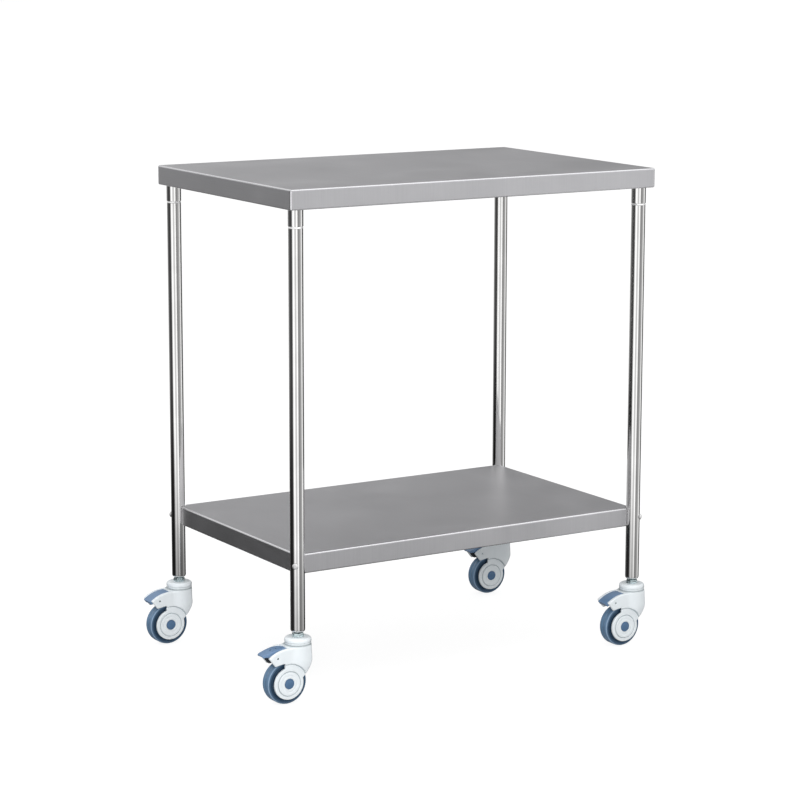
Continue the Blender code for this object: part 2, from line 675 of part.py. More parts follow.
def build_frame(table):
    """Top, shelf, stiffeners, and the leg, socket, insert and screw of each corner."""
    top = folded_pan(rounded_plan, TOP_LENGTH, TOP_DEPTH, TOP_SKIRT, TABLE_HEIGHT)
    place("top_panel", mesh_from(top, "top_panel", "brushed_steel"), table)
    place("shelf_panel", mesh_from(shelf_panel(), "shelf_panel", "brushed_steel"), table)
    for name, length, surface in (
        ("top_stiffener", TOP_LENGTH, TABLE_HEIGHT),
        ("shelf_stiffener", 2 * LEG_X, SHELF_HEIGHT),
    ):
        place(name, mesh_from(hat_channel(length, surface), name, "brushed_steel"), table)
    insert = mesh_from(leg_insert(), "leg_insert", "zinc")
    screw = mesh_from(shelf_screw(), "shelf_screw", "polished_steel")
    for where, corner in CORNERS.items():
        spot = (corner[0] * LEG_X, corner[1] * LEG_Y, 0)
        leg = mesh_from(leg_tube(corner), where + "_leg", "polished_steel")
        socket = mesh_from(leg_socket(corner), where + "_leg_socket", "polished_steel")
        place(where + "_leg", leg, table, spot)
        place(where + "_leg_socket", socket, table, spot)
        place(where + "_leg_insert", insert, table, spot)
        height = (spot[0], spot[1], SCREW_HEIGHT)
        place(where + "_shelf_screw", screw, table, height, tilt=math.pi / 2, turn=outward(corner))


def build_casters(table):
    """Four casters from one set of moulds; two have a brake pedal, two a plain cover."""
    pin_half = HALF_FORK - GAP
    meshes = {
        "caster_stem": mesh_from(caster_stem(), "caster_stem", "zinc"),
        "swivel_cap": mesh_from(swivel_cap(), "swivel_cap", "white_plastic"),
        "fork": mesh_from(fork(), "fork", "white_plastic"),
        "cross_pin": mesh_from(rod(PIN_RADIUS, pin_half, PIN_SIDES, PIN_PLACE), "cross_pin", "zinc"),
        "pedal_cover": mesh_from(pedal_cover(), "pedal_cover", "blue_plastic"),
        "brake_pedal": mesh_from(brake_pedal(), "brake_pedal", "blue_plastic"),
        "tyre": mesh_from(tyre(), "tyre", "tyre_rubber"),
        "wheel_core": mesh_from(wheel_core(), "wheel_core", "white_plastic"),
        "hub_cap_front": mesh_from(hub_cap(-1), "hub_cap_front", "blue_plastic"),
        "hub_cap_rear": mesh_from(hub_cap(1), "hub_cap_rear", "blue_plastic"),
    }
    axle_half = HALF_FORK - HUB_CAP_DEPTH - GAP
    meshes["axle"] = mesh_from(rod(AXLE_RADIUS, axle_half, AXLE_SIDES), "axle", "zinc")
    for where, corner in CORNERS.items():
        spot = (corner[0] * LEG_X, corner[1] * LEG_Y, 0)
        swivel = axis_empty(where + "_swivel_axis", table, spot)
        wheel = axis_empty(where + "_wheel_axis", swivel, (AXLE_PLACE[0], 0, AXLE_PLACE[1]))
        fixed = ["caster_stem", "swivel_cap", "fork", "cross_pin"]
        if where not in BRAKED:
            fixed.append("pedal_cover")
        for part in fixed:
            place(where + "_" + part, meshes[part], swivel)
        for part in ("tyre", "wheel_core", "axle", "hub_cap_front", "hub_cap_rear"):
            place(where + "_" + part, meshes[part], wheel)
        if where in BRAKED:
            pivot = from_axle([PEDAL_PIVOT])[0]
            hinge = axis_empty(where + "_pedal_axis", swivel, (pivot[0], 0, pivot[1]))
            place(where + "_brake_pedal", meshes["brake_pedal"], hinge, tilt=math.radians(PEDAL_TRAVEL))


def main():
    for old in list(bpy.data.objects):
        bpy.data.objects.remove(old)
    table = axis_empty("table", None, (table_offset(), 0, 0))
    build_frame(table)
    build_casters(table)
    bpy.context.view_layer.update()


main()
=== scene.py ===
# %% [markdown]
# # A surgical instrument table on moulded casters
# The real table is folded stainless sheet on four polished tubes, and each tube ends in a plastic caster.
# The measured solids come in as a fixed frame. Every cell below dresses some of them: it makes a finer
# piece where a solid is too plain, or gives a solid a better finish where its shape is right already.

# %% Load the measured frame
import math

import bmesh
import bpy
import numpy as np
from mathutils import Matrix, Vector


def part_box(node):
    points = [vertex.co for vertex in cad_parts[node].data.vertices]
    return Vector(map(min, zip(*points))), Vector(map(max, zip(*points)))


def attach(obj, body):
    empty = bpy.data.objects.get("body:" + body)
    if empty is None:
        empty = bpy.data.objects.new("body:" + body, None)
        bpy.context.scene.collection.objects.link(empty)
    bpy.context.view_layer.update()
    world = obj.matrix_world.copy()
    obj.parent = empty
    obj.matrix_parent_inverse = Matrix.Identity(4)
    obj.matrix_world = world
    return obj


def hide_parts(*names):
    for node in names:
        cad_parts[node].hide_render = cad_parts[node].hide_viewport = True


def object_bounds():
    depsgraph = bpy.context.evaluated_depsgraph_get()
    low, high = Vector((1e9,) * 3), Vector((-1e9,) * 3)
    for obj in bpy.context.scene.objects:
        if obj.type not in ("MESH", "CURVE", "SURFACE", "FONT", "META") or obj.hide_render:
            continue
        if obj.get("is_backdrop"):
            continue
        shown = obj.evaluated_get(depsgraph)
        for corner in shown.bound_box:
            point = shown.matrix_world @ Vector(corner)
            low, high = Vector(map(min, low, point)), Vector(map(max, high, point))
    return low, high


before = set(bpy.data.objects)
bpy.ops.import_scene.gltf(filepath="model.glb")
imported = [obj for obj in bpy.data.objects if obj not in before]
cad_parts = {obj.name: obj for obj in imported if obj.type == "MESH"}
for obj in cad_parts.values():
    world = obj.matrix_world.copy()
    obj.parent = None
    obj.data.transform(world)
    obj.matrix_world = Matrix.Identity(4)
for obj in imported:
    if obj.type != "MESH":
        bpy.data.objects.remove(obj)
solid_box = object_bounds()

# %% Where the corners are
MM = 0.001
CORNERS = ("front_left", "front_right", "back_left", "back_right")
BRAKED = ("front_left", "back_right")


def middle(node):
    low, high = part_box(node)
    return (Vector(low) + Vector(high)) / 2


top_low, top_high = (Vector(corner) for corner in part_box("top_panel"))
shelf_low, shelf_high = (Vector(corner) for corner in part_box("shelf_panel"))
table_centre = Vector((middle("top_panel").x, middle("top_panel").y, 0))
leg_spot = {corner: middle(corner + "_swivel_cap") for corner in CORNERS}
for spot in leg_spot.values():
    spot.z = 0
half_legs = leg_spot["back_right"] - table_centre
print("legs stand", [round(v / MM, 1) for v in half_legs.xy], "mm from the middle")

# %% [markdown]
# ## Shader helpers
# A finish is a small network of nodes. One helper adds a node, sets its options and joins its inputs, so
# that each finish below reads as a list of what feeds what. Effects that several finishes share become
# node groups with named sockets, built once.

# %% Helpers for node trees
def add(tree, kind, inputs=None, **options):
    """Add a node; an input may be a plain value or another node's output."""
    made = tree.nodes.new(kind)
    for option, value in options.items():
        setattr(made, option, value)
    for name, value in (inputs or {}).items():
        if isinstance(value, bpy.types.NodeSocket):
            tree.links.new(value, made.inputs[name])
        else:
            made.inputs[name].default_value = value
    return made


def feed(tree, kind, inputs=None, **options):
    """The first output of a new node."""
    return add(tree, kind, inputs, **options).outputs[0]


def maths(tree, operation, *values, **options):
    return feed(tree, "ShaderNodeMath", dict(enumerate(values)), operation=operation, **options)


def spread(tree, value, low=0.0, high=1.0, start=0.0, end=1.0):
    """Map the range from start to end on the range from low to high."""
    ends = {"From Min": start, "From Max": end, "To Min": low, "To Max": high}
    return feed(tree, "ShaderNodeMapRange", {"Value": value, **ends})


def blend(tree, factor, first, second, kind="FLOAT"):
    """Blend two numbers, or two colours with the kind RGBA."""
    inputs = {"Factor": factor, "A": first, "B": second}
    return add(tree, "ShaderNodeMix", inputs, data_type=kind).outputs["Result"]


def noise(tree, place, scale, detail, distortion=0.0):
    inputs = {"Vector": place, "Scale": scale, "Detail": detail, "Distortion": distortion}
    return add(tree, "ShaderNodeTexNoise", inputs).outputs["Fac"]


def ramp(tree, factor, stops):
    """A grey ramp from (position, value) stops."""
    made = add(tree, "ShaderNodeValToRGB", {"Fac": factor})
    while len(made.color_ramp.elements) < len(stops):
        made.color_ramp.elements.new(0.5)
    for element, (position, value) in zip(made.color_ramp.elements, stops):
        element.position = position
        element.color = (value, value, value, 1)
    return made.outputs["Color"]


print("shader nodes to choose from:", sum(kind.startswith("ShaderNode") for kind in dir(bpy.types)))

# %% Helpers for groups
def tree_socket(tree, label, kind, way="INPUT"):
    return tree.interface.new_socket(label, in_out=way, socket_type="NodeSocket" + kind)


def shader_group(name, inputs, outputs):
    """An empty shader group; an input is a number with a default, or a vector without one."""
    group = bpy.data.node_groups.new(name, "ShaderNodeTree")
    for label, default in inputs.items():
        socket = tree_socket(group, label, "Float" if default else "Vector")
        if default:
            socket.default_value = default
    for label in outputs:
        tree_socket(group, label, "Float", "OUTPUT")
    print("group:", name)
    return group, add(group, "NodeGroupInput").outputs, add(group, "NodeGroupOutput").inputs


def use(tree, group, **inputs):
    """Place a group and give its outputs."""
    return add(tree, "ShaderNodeGroup", inputs, node_tree=group).outputs


print("groups so far:", len(bpy.data.node_groups))

# %% [markdown]
# ## Shared surface effects
# Brushing is noise drawn out along one direction. Smudges are broad, soft noise: the places that hands and
# cloths leave slightly duller. The fold mask finds the bends of a sheet, where its face points along none
# of the table's axes; on the real table the bends are polished brighter by handling and wiping.

# %% Groups for brushing, smudges and folds
FLAT, BENT = 0.995, 0.93
SIDE_FACE = 0.72

brushing, given, wanted = shader_group(
    "brushing", {"Vector": None, "Stretch": None, "Detail": 3.0}, ["Streaks"]
)
stretched = {0: given["Vector"], 1: given["Stretch"]}
drawn_out = feed(brushing, "ShaderNodeVectorMath", stretched, operation="MULTIPLY")
brushing.links.new(noise(brushing, drawn_out, 1.0, given["Detail"]), wanted["Streaks"])

smudging, given, wanted = shader_group(
    "smudging", {"Vector": None, "Size": 0.1, "Contrast": 2.0}, ["Smudge"]
)
per_metre = maths(smudging, "DIVIDE", 1.0, given["Size"])
clouds = noise(smudging, given["Vector"], per_metre, 4.0, 0.6)
centred = maths(smudging, "SUBTRACT", clouds, 0.5)
stronger = maths(smudging, "MULTIPLY_ADD", centred, given["Contrast"], 0.5, use_clamp=True)
smudging.links.new(stronger, wanted["Smudge"])

fold_mask, given, wanted = shader_group("fold mask", {"Normal": None}, ["Fold", "Sideways"])
size_of = feed(fold_mask, "ShaderNodeVectorMath", {0: given["Normal"]}, operation="ABSOLUTE")
parts = add(fold_mask, "ShaderNodeSeparateXYZ", {"Vector": size_of}).outputs
larger = maths(fold_mask, "MAXIMUM", parts["X"], parts["Y"])
largest = maths(fold_mask, "MAXIMUM", larger, parts["Z"])
fold_mask.links.new(spread(fold_mask, largest, start=FLAT, end=BENT), wanted["Fold"])
fold_mask.links.new(maths(fold_mask, "GREATER_THAN", parts["X"], SIDE_FACE), wanted["Sideways"])

# %% [markdown]
# ## Steel finishes
# Stainless sheet is brushed from front to back before it is folded, so the grain stands upright on the front
# skirt and lies along the side skirts. One stretched noise can't do both, so the finish chooses between two
# by the way that a face points. The tubes are polished much brighter and only show faint rings from the
# polishing wheel. Both get their colour and roughness from the same groups with different numbers.

# %% Start a finish
def finish(name, **constants):
    """A new material; the constants go straight on the Principled sockets."""
    made = bpy.data.materials.new(name)
    made.use_nodes = True
    tree = made.node_tree
    shader = tree.nodes["Principled BSDF"]
    for socket, value in constants.items():
        shader.inputs[socket.replace("_", " ")].default_value = value
    place = add(tree, "ShaderNodeTexCoord").outputs["Object"]
    print("finish:", name)
    return made, tree, shader, place


def coat(tree, shader, colour, roughness, height, depth):
    """Colour, roughness, and a relief from a height between 0 and 1 with its depth in metres."""
    bump = feed(tree, "ShaderNodeBump", {"Height": height, "Distance": depth, "Strength": 1.0})
    for socket, output in (("Base Color", colour), ("Roughness", roughness), ("Normal", bump)):
        tree.links.new(output, shader.inputs[socket])


def tint(tree, value, dark, light):
    """Blend two colours by a value between 0 and 1."""
    return blend(tree, value, (*dark, 1), (*light, 1), "RGBA")


def streaks(tree, place, stretch, detail):
    return use(tree, brushing, Vector=place, Stretch=stretch, Detail=detail)["Streaks"]


def smudges(tree, place, size, contrast):
    return use(tree, smudging, Vector=place, Size=size, Contrast=contrast)["Smudge"]


print("materials that came with the frame:", len(bpy.data.materials))

# %% Brushed sheet
ACROSS, ALONG = 900, 12

sheet_steel, tree, shader, place = finish("sheet_steel", Metallic=1.0)
facing = add(tree, "ShaderNodeNewGeometry").outputs["Normal"]
folds = use(tree, fold_mask, Normal=facing)
front_to_back = streaks(tree, place, (ACROSS, ALONG, ALONG), 3.0)
along_sides = streaks(tree, place, (ALONG, ALONG, ACROSS), 3.0)
grain = blend(tree, folds["Sideways"], front_to_back, along_sides)
wiped = smudges(tree, place, 0.16, 1.8)
flat = maths(tree, "ADD", spread(tree, grain, 0.34, 0.44), spread(tree, wiped, -0.025, 0.025))
tone = blend(tree, 0.45, grain, wiped)
colour = tint(tree, tone, (0.598, 0.596, 0.616), (0.756, 0.753, 0.774))
coat(tree, shader, colour, blend(tree, folds["Fold"], flat, 0.2), grain, 0.00004)

# %% Polished tube
tube_steel, tree, shader, place = finish("tube_steel", Metallic=1.0)
rings = streaks(tree, place, (60, 60, 1500), 2.0)
wiped = smudges(tree, place, 0.05, 2.0)
rubbed = maths(tree, "ADD", spread(tree, rings, 0.04, 0.09), spread(tree, wiped, 0.0, 0.04))
colour = tint(tree, wiped, (0.66, 0.655, 0.65), (0.74, 0.735, 0.73))
coat(tree, shader, colour, rubbed, rings, 0.00001)

# %% Screw heads, joint rings and zinc plating
def speckled(name, metallic, size, contrast, dark, light, roughness, depth):
    """A metal with one fine pattern in its colour, roughness and relief."""
    made, tree, shader, place = finish(name, Metallic=metallic)
    pattern = smudges(tree, place, size, contrast)
    colour = tint(tree, pattern, dark, light)
    coat(tree, shader, colour, spread(tree, pattern, *roughness), pattern, depth)
    return made


screw_steel = speckled(
    "screw_steel", metallic=0.8, size=0.003, contrast=2.0,
    dark=(0.76, 0.76, 0.76), light=(0.86, 0.86, 0.86), roughness=(0.32, 0.48), depth=0.00002,
)
# A near-white, half-diffuse steel: a painted highlight for the joint rings.
ring_highlight_steel = speckled(
    "ring_highlight_steel", metallic=0.5, size=0.004, contrast=2.0,
    dark=(0.9, 0.9, 0.9), light=(0.95, 0.95, 0.95), roughness=(0.2, 0.32), depth=0.00001,
)
zinc_steel = speckled(
    "zinc_steel", metallic=1.0, size=0.004, contrast=2.5,
    dark=(0.50, 0.63, 0.66), light=(0.74, 0.84, 0.86), roughness=(0.16, 0.32), depth=0.00003,
)

# %% [markdown]
# ## Moulded plastics and rubber
# The casters' nylon is bluish white with the very fine grain of a spark-eroded mould. The pedals and hub
# caps are the same plastic in grey-blue. The tyre is softer and duller, and picks up pale dust on its
# tread. Each mesh can mark painted shade, which darkens its grooves, dimples and gaps, and a painted
# highlight, which lightens it; only the tyre's shoulders have one. A shared group makes the mould grain, a
# second one the dust that gathers close to the floor.

# %% Groups for mould grain and floor dust
mould_grain, given, wanted = shader_group("mould grain", {"Vector": None, "Size": 0.0006}, ["Grain"])
per_metre = maths(mould_grain, "DIVIDE", 1.0, given["Size"])
mould_grain.links.new(noise(mould_grain, given["Vector"], per_metre, 2.0), wanted["Grain"])

floor_dust, given, wanted = shader_group("floor dust", {"Vector": None, "Reach": 0.05}, ["Dust"])
height = add(floor_dust, "ShaderNodeSeparateXYZ", {"Vector": given["Vector"]}).outputs["Z"]
fade = spread(floor_dust, height, 1.0, 0.0, 0.0, given["Reach"])
patches = noise(floor_dust, given["Vector"], 130.0, 5.0)
floor_dust.links.new(maths(floor_dust, "MULTIPLY", fade, patches), wanted["Dust"])


# %% Plastics and rubber
def moulded(name, dark, light, roughness, grain, dust, shade_colour, **constants):
    """A plastic or rubber. Grain is its size and depth in metres, dust its colour and its reach; a painted
    highlight takes the dust colour too, and painted shade takes the last colour.
    """
    made, tree, shader, place = finish(name, **constants)
    pits = use(tree, mould_grain, Vector=place, Size=grain[0])["Grain"]
    settled = use(tree, floor_dust, Vector=place, Reach=dust[1])["Dust"]
    painted_highlight, painted_shade = (
        add(tree, "ShaderNodeAttribute", attribute_name=label).outputs["Fac"]
        for label in ("painted_highlight", "painted_shade")
    )
    clean = tint(tree, smudges(tree, place, 0.03, 1.5), dark, light)
    # Floor dust and the painted highlight lighten the colour towards the dust colour, and painted shade then
    # darkens it.
    pale = maths(tree, "MAXIMUM", spread(tree, settled, 0.0, 0.35), painted_highlight)
    dusty_and_highlit = blend(tree, pale, clean, (*dust[0], 1), "RGBA")
    colour = blend(tree, painted_shade, dusty_and_highlit, (*shade_colour, 1), "RGBA")
    rough = spread(tree, pits, roughness - 0.06, roughness + 0.06)
    duller = maths(tree, "ADD", rough, spread(tree, settled, 0.0, 0.15))
    coat(tree, shader, colour, duller, pits, grain[1])
    return made


white_nylon = moulded(
    "white_nylon", dark=(0.76, 0.81, 0.84), light=(0.80, 0.845, 0.87), roughness=0.34,
    grain=(0.0006, 0.00002), dust=((0.6, 0.6, 0.58), 0.03), shade_colour=(0.5, 0.55, 0.57),
)
blue_nylon = moulded(
    "blue_nylon", dark=(0.12, 0.21, 0.35), light=(0.15, 0.245, 0.4), roughness=0.4,
    grain=(0.0007, 0.00004), dust=((0.3, 0.34, 0.4), 0.03), shade_colour=(0.03, 0.05, 0.09),
)
cap_blue = moulded(
    "cap_blue", dark=(0.068, 0.14, 0.252), light=(0.082, 0.16, 0.282), roughness=0.36,
    grain=(0.0007, 0.00003), dust=((0.3, 0.34, 0.4), 0.03), shade_colour=(0.03, 0.05, 0.09),
)
black_rubber = moulded(
    "black_rubber", dark=(0.012, 0.016, 0.022), light=(0.02, 0.025, 0.032), roughness=0.5,
    grain=(0.0009, 0.00004), dust=((0.08, 0.085, 0.09), 0.02), shade_colour=(0.01, 0.01, 0.01),
)
# The tyre's dust colour is also the colour of the painted highlight on its shoulders.
tyre_blue = moulded(
    "tyre_blue", dark=(0.115, 0.205, 0.325), light=(0.145, 0.245, 0.385), roughness=0.38,
    grain=(0.0009, 0.00005), dust=((0.33, 0.42, 0.53), 0.015), shade_colour=(0.012, 0.031, 0.062),
    Specular_IOR_Level=0.7, Specular_Tint=(0.55, 0.78, 1.0, 1.0),
)

# %% [markdown]
# ## Helpers for pieces
# A finished piece is an object at the origin with its place in its mesh. It rides on one of the frame's
# bodies and gets one of the finishes above as its only material. It stands for one or more measured solids,
# or for none where it is an extra. Profiles, outlines and fields are in millimetres, meshes in metres.

# %% Dress a body with a piece
def tidy(mesh, sharp=35.0):
    """Merge doubles, turn the faces outwards, and shade smooth up to a sharp angle in degrees."""
    bm = bmesh.new()
    bm.from_mesh(mesh)
    bmesh.ops.remove_doubles(bm, verts=bm.verts, dist=1e-6)
    bmesh.ops.recalc_face_normals(bm, faces=bm.faces)
    bm.to_mesh(mesh)
    bm.free()
    mesh.shade_smooth()
    mesh.set_sharp_from_angle(angle=math.radians(sharp))
    return mesh


def dress(name, mesh, material, slot, body, *nodes):
    """Make the object, let it ride on its body and stand for its solids."""
    mesh.materials.clear()
    mesh.materials.append(material)
    piece = bpy.data.objects.new(name, mesh)
    bpy.context.collection.objects.link(piece)
    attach(piece, body)
    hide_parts(*nodes)
    print(name, len(mesh.polygons), "faces")


def mark(mesh, rule, attribute="painted_shade"):
    """Mark where the rule, on x, y and z in millimetres, gives 1. The default attribute holds painted shade,
    which darkens; the tyre's other attribute holds a painted highlight, which lightens.
    """
    places = np.empty(3 * len(mesh.vertices), dtype=np.float32)
    mesh.vertices.foreach_get("co", places)
    share = np.clip(rule(*(places.reshape(-1, 3) / MM).T), 0, 1).astype(np.float32)
    mesh.attributes.new(attribute, "FLOAT", "POINT").data.foreach_set("value", share)


def copy_at(mesh, matrix):
    """A copy of a mesh moved to its place."""
    placed = mesh.copy()
    placed.transform(matrix)
    return placed


def dress_caster(corner, place, name, mesh, material, slot, body, *parts):
    """A piece of one caster; its body and its solids are named without their corner."""
    nodes = [corner + "_" + part for part in parts]
    dress(corner + "_" + name, copy_at(mesh, place), material, slot, corner + "_" + body, *nodes)


print("solids to stand for:", len(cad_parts))

# %% Shells, arcs and curves
def bands(rows):
    """A shell over loops of points in millimetres: faces between neighbours and one at each end."""
    bm = bmesh.new()
    loops = [[bm.verts.new(Vector(point) * MM) for point in row] for row in rows]
    for row, after in zip(loops, loops[1:]):
        for i in range(len(row)):
            j = (i + 1) % len(row)
            bm.faces.new((row[i], row[j], after[j], after[i]))
    bm.faces.new(loops[0])
    bm.faces.new(loops[-1])
    return bm


def as_mesh(name, bm):
    made = bpy.data.meshes.new(name)
    bm.to_mesh(made)
    bm.free()
    return made


def joined(name, meshes):
    """One mesh from several."""
    bm = bmesh.new()
    for mesh in meshes:
        bm.from_mesh(mesh)
    made = as_mesh(name, bm)
    made.shade_smooth()
    return made


def polar(radius, degrees, centre=(0, 0)):
    angle = math.radians(degrees)
    return (centre[0] + radius * math.cos(angle), centre[1] + radius * math.sin(angle))


def arc(centre, radius, start, end, steps):
    """Points round a centre between two angles in degrees, both ends included."""
    return [polar(radius, start + (end - start) * i / steps, centre) for i in range(steps + 1)]


def curve(first, control, last, steps):
    """A quadratic curve between two points."""
    made = []
    for i in range(steps + 1):
        t = i / steps
        shares = ((1 - t) ** 2, 2 * t * (1 - t), t * t)
        made.append(tuple(sum(s * v for s, v in zip(shares, row)) for row in zip(first, control, last)))
    return made


print("a quarter turn in three steps:", [round(x, 2) for x, y in arc((0, 0), 1, 0, 90, 3)])

# %% [markdown]
# ## The folded panels
# The top and the shelf start as flat sheet. A press brake folds the skirts and the return flanges, and the
# top's corners are welded and ground round. A solid could be hollowed out, but a folded sheet is really one
# section carried round a plan. So the section is a list of (inset, height) points, the plan is a loop drawn
# in by the inset, and the sheet is the skin between those loops.

# %% Plans of the top and the shelf
SHEET = 1.2
BEND = 3.0
LOW_BEND = 2.4
RETURN_FLANGE = 7.4
TOP_CORNER = 3.6
LEAST_CORNER = 0.3
BEND_STEPS = 7
HOLD = 0.3
NOTCH = 13.0
NOTCH_EDGE = 1.6


def quarters(half_x, half_y):
    return [(half_x, half_y), (-half_x, half_y), (-half_x, -half_y), (half_x, -half_y)]


def held_arc(centre, radius, start, end, steps):
    """An arc with a point just past each end, which keeps the shading of the flat beside it flat."""
    points = arc(centre, radius, start, end, steps)
    way = HOLD if end > start else -HOLD
    for degrees, place, step in ((start, 0, -way), (end, len(points) + 1, way)):
        x, y = points[0] if place == 0 else points[-1]
        turn_by = math.radians(degrees)
        points.insert(place, (x - step * math.sin(turn_by), y + step * math.cos(turn_by)))
    return points


def round_corners(inset, half_x, half_y):
    """The top's plan, with ground corners that shrink as the loop is drawn in."""
    radius = max(TOP_CORNER - inset, LEAST_CORNER)
    loop = []
    for quarter, centre in enumerate(quarters(half_x - inset - radius, half_y - inset - radius)):
        loop += held_arc(centre, radius, 90 * quarter, 90 * quarter + 90, 8)
    return loop


def nested_corners(inset, half_x, half_y):
    """The shelf's plan, with a round notch in which each leg nests."""
    radius = NOTCH + inset
    lean = math.degrees(math.asin(inset / radius))
    eased = math.degrees(NOTCH_EDGE / radius)
    loop = []
    for quarter, corner in enumerate(quarters(half_x, half_y)):
        start = 270 + 90 * quarter - lean
        end = 180 + 90 * quarter + lean
        notch = arc(corner, radius, start - eased, end + eased, 12)
        for degrees, side, row in ((start, 270, notch[:1]), (end, 180, notch[-1:])):
            tip = polar(radius, degrees, corner)
            near, hold = (polar(NOTCH_EDGE + more, side + 90 * quarter, tip) for more in (0, HOLD))
            edge = [hold] + curve(near, tip, row[0], 3)[:-1]
            notch = edge + notch if side == 270 else notch + edge[::-1]
        loop += notch
    return loop


print("points in the shelf's plan:", len(nested_corners(0, 350, 220)))

# %% Fold the sheets
def folded_pan(name, plan, low, high):
    """A sheet folded down on all sides and returned inwards."""
    length, depth, skirt = (high - low) / MM
    low_middle = (LOW_BEND, LOW_BEND - skirt)
    section = held_arc((BEND, -BEND), BEND, 90, 180, BEND_STEPS)
    section += held_arc(low_middle, LOW_BEND, 180, 270, BEND_STEPS)
    section += [(RETURN_FLANGE, -skirt), (RETURN_FLANGE, SHEET - skirt)]
    section += held_arc(low_middle, LOW_BEND - SHEET, 270, 180, BEND_STEPS)
    section += held_arc((BEND, -BEND), BEND - SHEET, 180, 90, BEND_STEPS)
    centre = (low + high) / 2 / MM
    surface = high.z / MM
    rows = []
    for inset, drop in section:
        loop = plan(inset, length / 2, depth / 2)
        rows.append([(centre.x + x, centre.y + y, surface + drop) for x, y in loop])
    return tidy(as_mesh(name, bands(rows)), 40)


top = folded_pan("top", round_corners, top_low, top_high)
shelf = folded_pan("shelf", nested_corners, shelf_low, shelf_high)
dress("top", top, sheet_steel, "brushed_steel", "table", "top_panel")
dress("shelf", shelf, sheet_steel, "brushed_steel", "table", "shelf_panel")

# %% [markdown]
# ## A lathe made of Geometry Nodes
# Legs, sockets, caps, wheels and tyres are all turned: one profile carried round an axis. A Screw modifier
# could do it, but a node tree shows how it works and ends with a clean, closed mesh. A grid gets one
# column of points for each profile point and one row for each step round the axis. Each grid point looks up
# its profile point, turns it by its row's angle, and the seam and the poles are merged.

# %% The lathe tree
lathe = bpy.data.node_groups.new("lathe", "GeometryNodeTree")
tree_socket(lathe, "Profile", "Geometry")
sides_input = tree_socket(lathe, "Sides", "Int")
lathe_finish = tree_socket(lathe, "Finish", "Material")
tree_socket(lathe, "Turned", "Geometry", "OUTPUT")
given = add(lathe, "NodeGroupInput").outputs
measured = add(lathe, "GeometryNodeAttributeDomainSize", {"Geometry": given["Profile"]}).outputs
rows = feed(lathe, "FunctionNodeIntegerMath", {0: given["Sides"], 1: 1}, operation="ADD")
size = {"Vertices X": measured["Point Count"], "Vertices Y": rows}
grid = feed(lathe, "GeometryNodeMeshGrid", size)
index = feed(lathe, "GeometryNodeInputIndex")
column = feed(lathe, "FunctionNodeIntegerMath", {0: index, 1: rows}, operation="DIVIDE_FLOOR")
row = feed(lathe, "FunctionNodeIntegerMath", {0: index, 1: rows}, operation="FLOORED_MODULO")
where = feed(lathe, "GeometryNodeInputPosition")
sample = {"Geometry": given["Profile"], "Value": where, "Index": column}
looked_up = feed(lathe, "GeometryNodeSampleIndex", sample, data_type="FLOAT_VECTOR")
angle = maths(lathe, "MULTIPLY", maths(lathe, "DIVIDE", row, given["Sides"]), 2 * math.pi)
turning = {"Vector": looked_up, "Angle": angle}
turned = feed(lathe, "ShaderNodeVectorRotate", turning, rotation_type="Z_AXIS")
carried = feed(lathe, "GeometryNodeSetPosition", {"Geometry": grid, "Position": turned})
closed = feed(lathe, "GeometryNodeMergeByDistance", {"Geometry": carried, "Distance": 1e-6})
real = feed(lathe, "GeometryNodeRealizeInstances", {"Geometry": closed})
coated = feed(lathe, "GeometryNodeSetMaterial", {"Geometry": real, "Material": given["Finish"]})
lathe.links.new(coated, add(lathe, "NodeGroupOutput").inputs["Turned"])
print("the lathe has", len(lathe.nodes), "nodes")

# %% Turn a profile
def run_tree(tree, mesh, values):
    """Put a mesh through a node tree and return the result as a plain mesh."""
    holder = bpy.data.objects.new("holder", mesh)
    bpy.context.collection.objects.link(holder)
    modifier = holder.modifiers.new("nodes", "NODES")
    modifier.node_group = tree
    for socket, value in values:
        modifier[socket.identifier] = value
    depsgraph = bpy.context.evaluated_depsgraph_get()
    made = bpy.data.meshes.new_from_object(holder.evaluated_get(depsgraph))
    bpy.data.objects.remove(holder)
    return made


def turn(name, profile, sides, material, sharp=35.0):
    """Turn a list of (radius, height) points about Z."""
    line = bpy.data.meshes.new(name)
    line.from_pydata([(radius * MM, 0, height * MM) for radius, height in profile], [], [])
    made = run_tree(lathe, line, [(sides_input, sides), (lathe_finish, material)])
    made.name = name
    return tidy(made, sharp)


rod = turn("rod", [(0, 0), (5, 0), (5, 10), (0, 10)], 12, tube_steel)
print("a rod turned in 12 steps has", len(rod.vertices), "vertices")
bpy.data.meshes.remove(rod)

# %% [markdown]
# ## Four corners at once
# The table's corners are alike, so a piece for one corner is made once, with its outer side towards +X. A
# second tree puts a copy on each point of a two-by-two grid and turns it to face outwards along the
# diagonal. The instances are realised at the end, so the result is one ordinary mesh.

# %% The corner tree
corner_tree = bpy.data.node_groups.new("corners", "GeometryNodeTree")
tree_socket(corner_tree, "Piece", "Geometry")
length_input = tree_socket(corner_tree, "Length", "Float")
depth_input = tree_socket(corner_tree, "Depth", "Float")
centre_input = tree_socket(corner_tree, "Centre", "Vector")
corner_finish = tree_socket(corner_tree, "Finish", "Material")
tree_socket(corner_tree, "Pieces", "Geometry", "OUTPUT")
given = add(corner_tree, "NodeGroupInput").outputs
size = {"Size X": given["Length"], "Size Y": given["Depth"], "Vertices X": 2, "Vertices Y": 2}
spots = feed(corner_tree, "GeometryNodeMeshGrid", size)
where = feed(corner_tree, "GeometryNodeInputPosition")
signs = feed(corner_tree, "ShaderNodeVectorMath", {0: where}, operation="SIGN")
side = add(corner_tree, "ShaderNodeSeparateXYZ", {"Vector": signs}).outputs
facing = maths(corner_tree, "ARCTAN2", side["Y"], side["X"])
turning = feed(corner_tree, "ShaderNodeCombineXYZ", {"Z": facing})
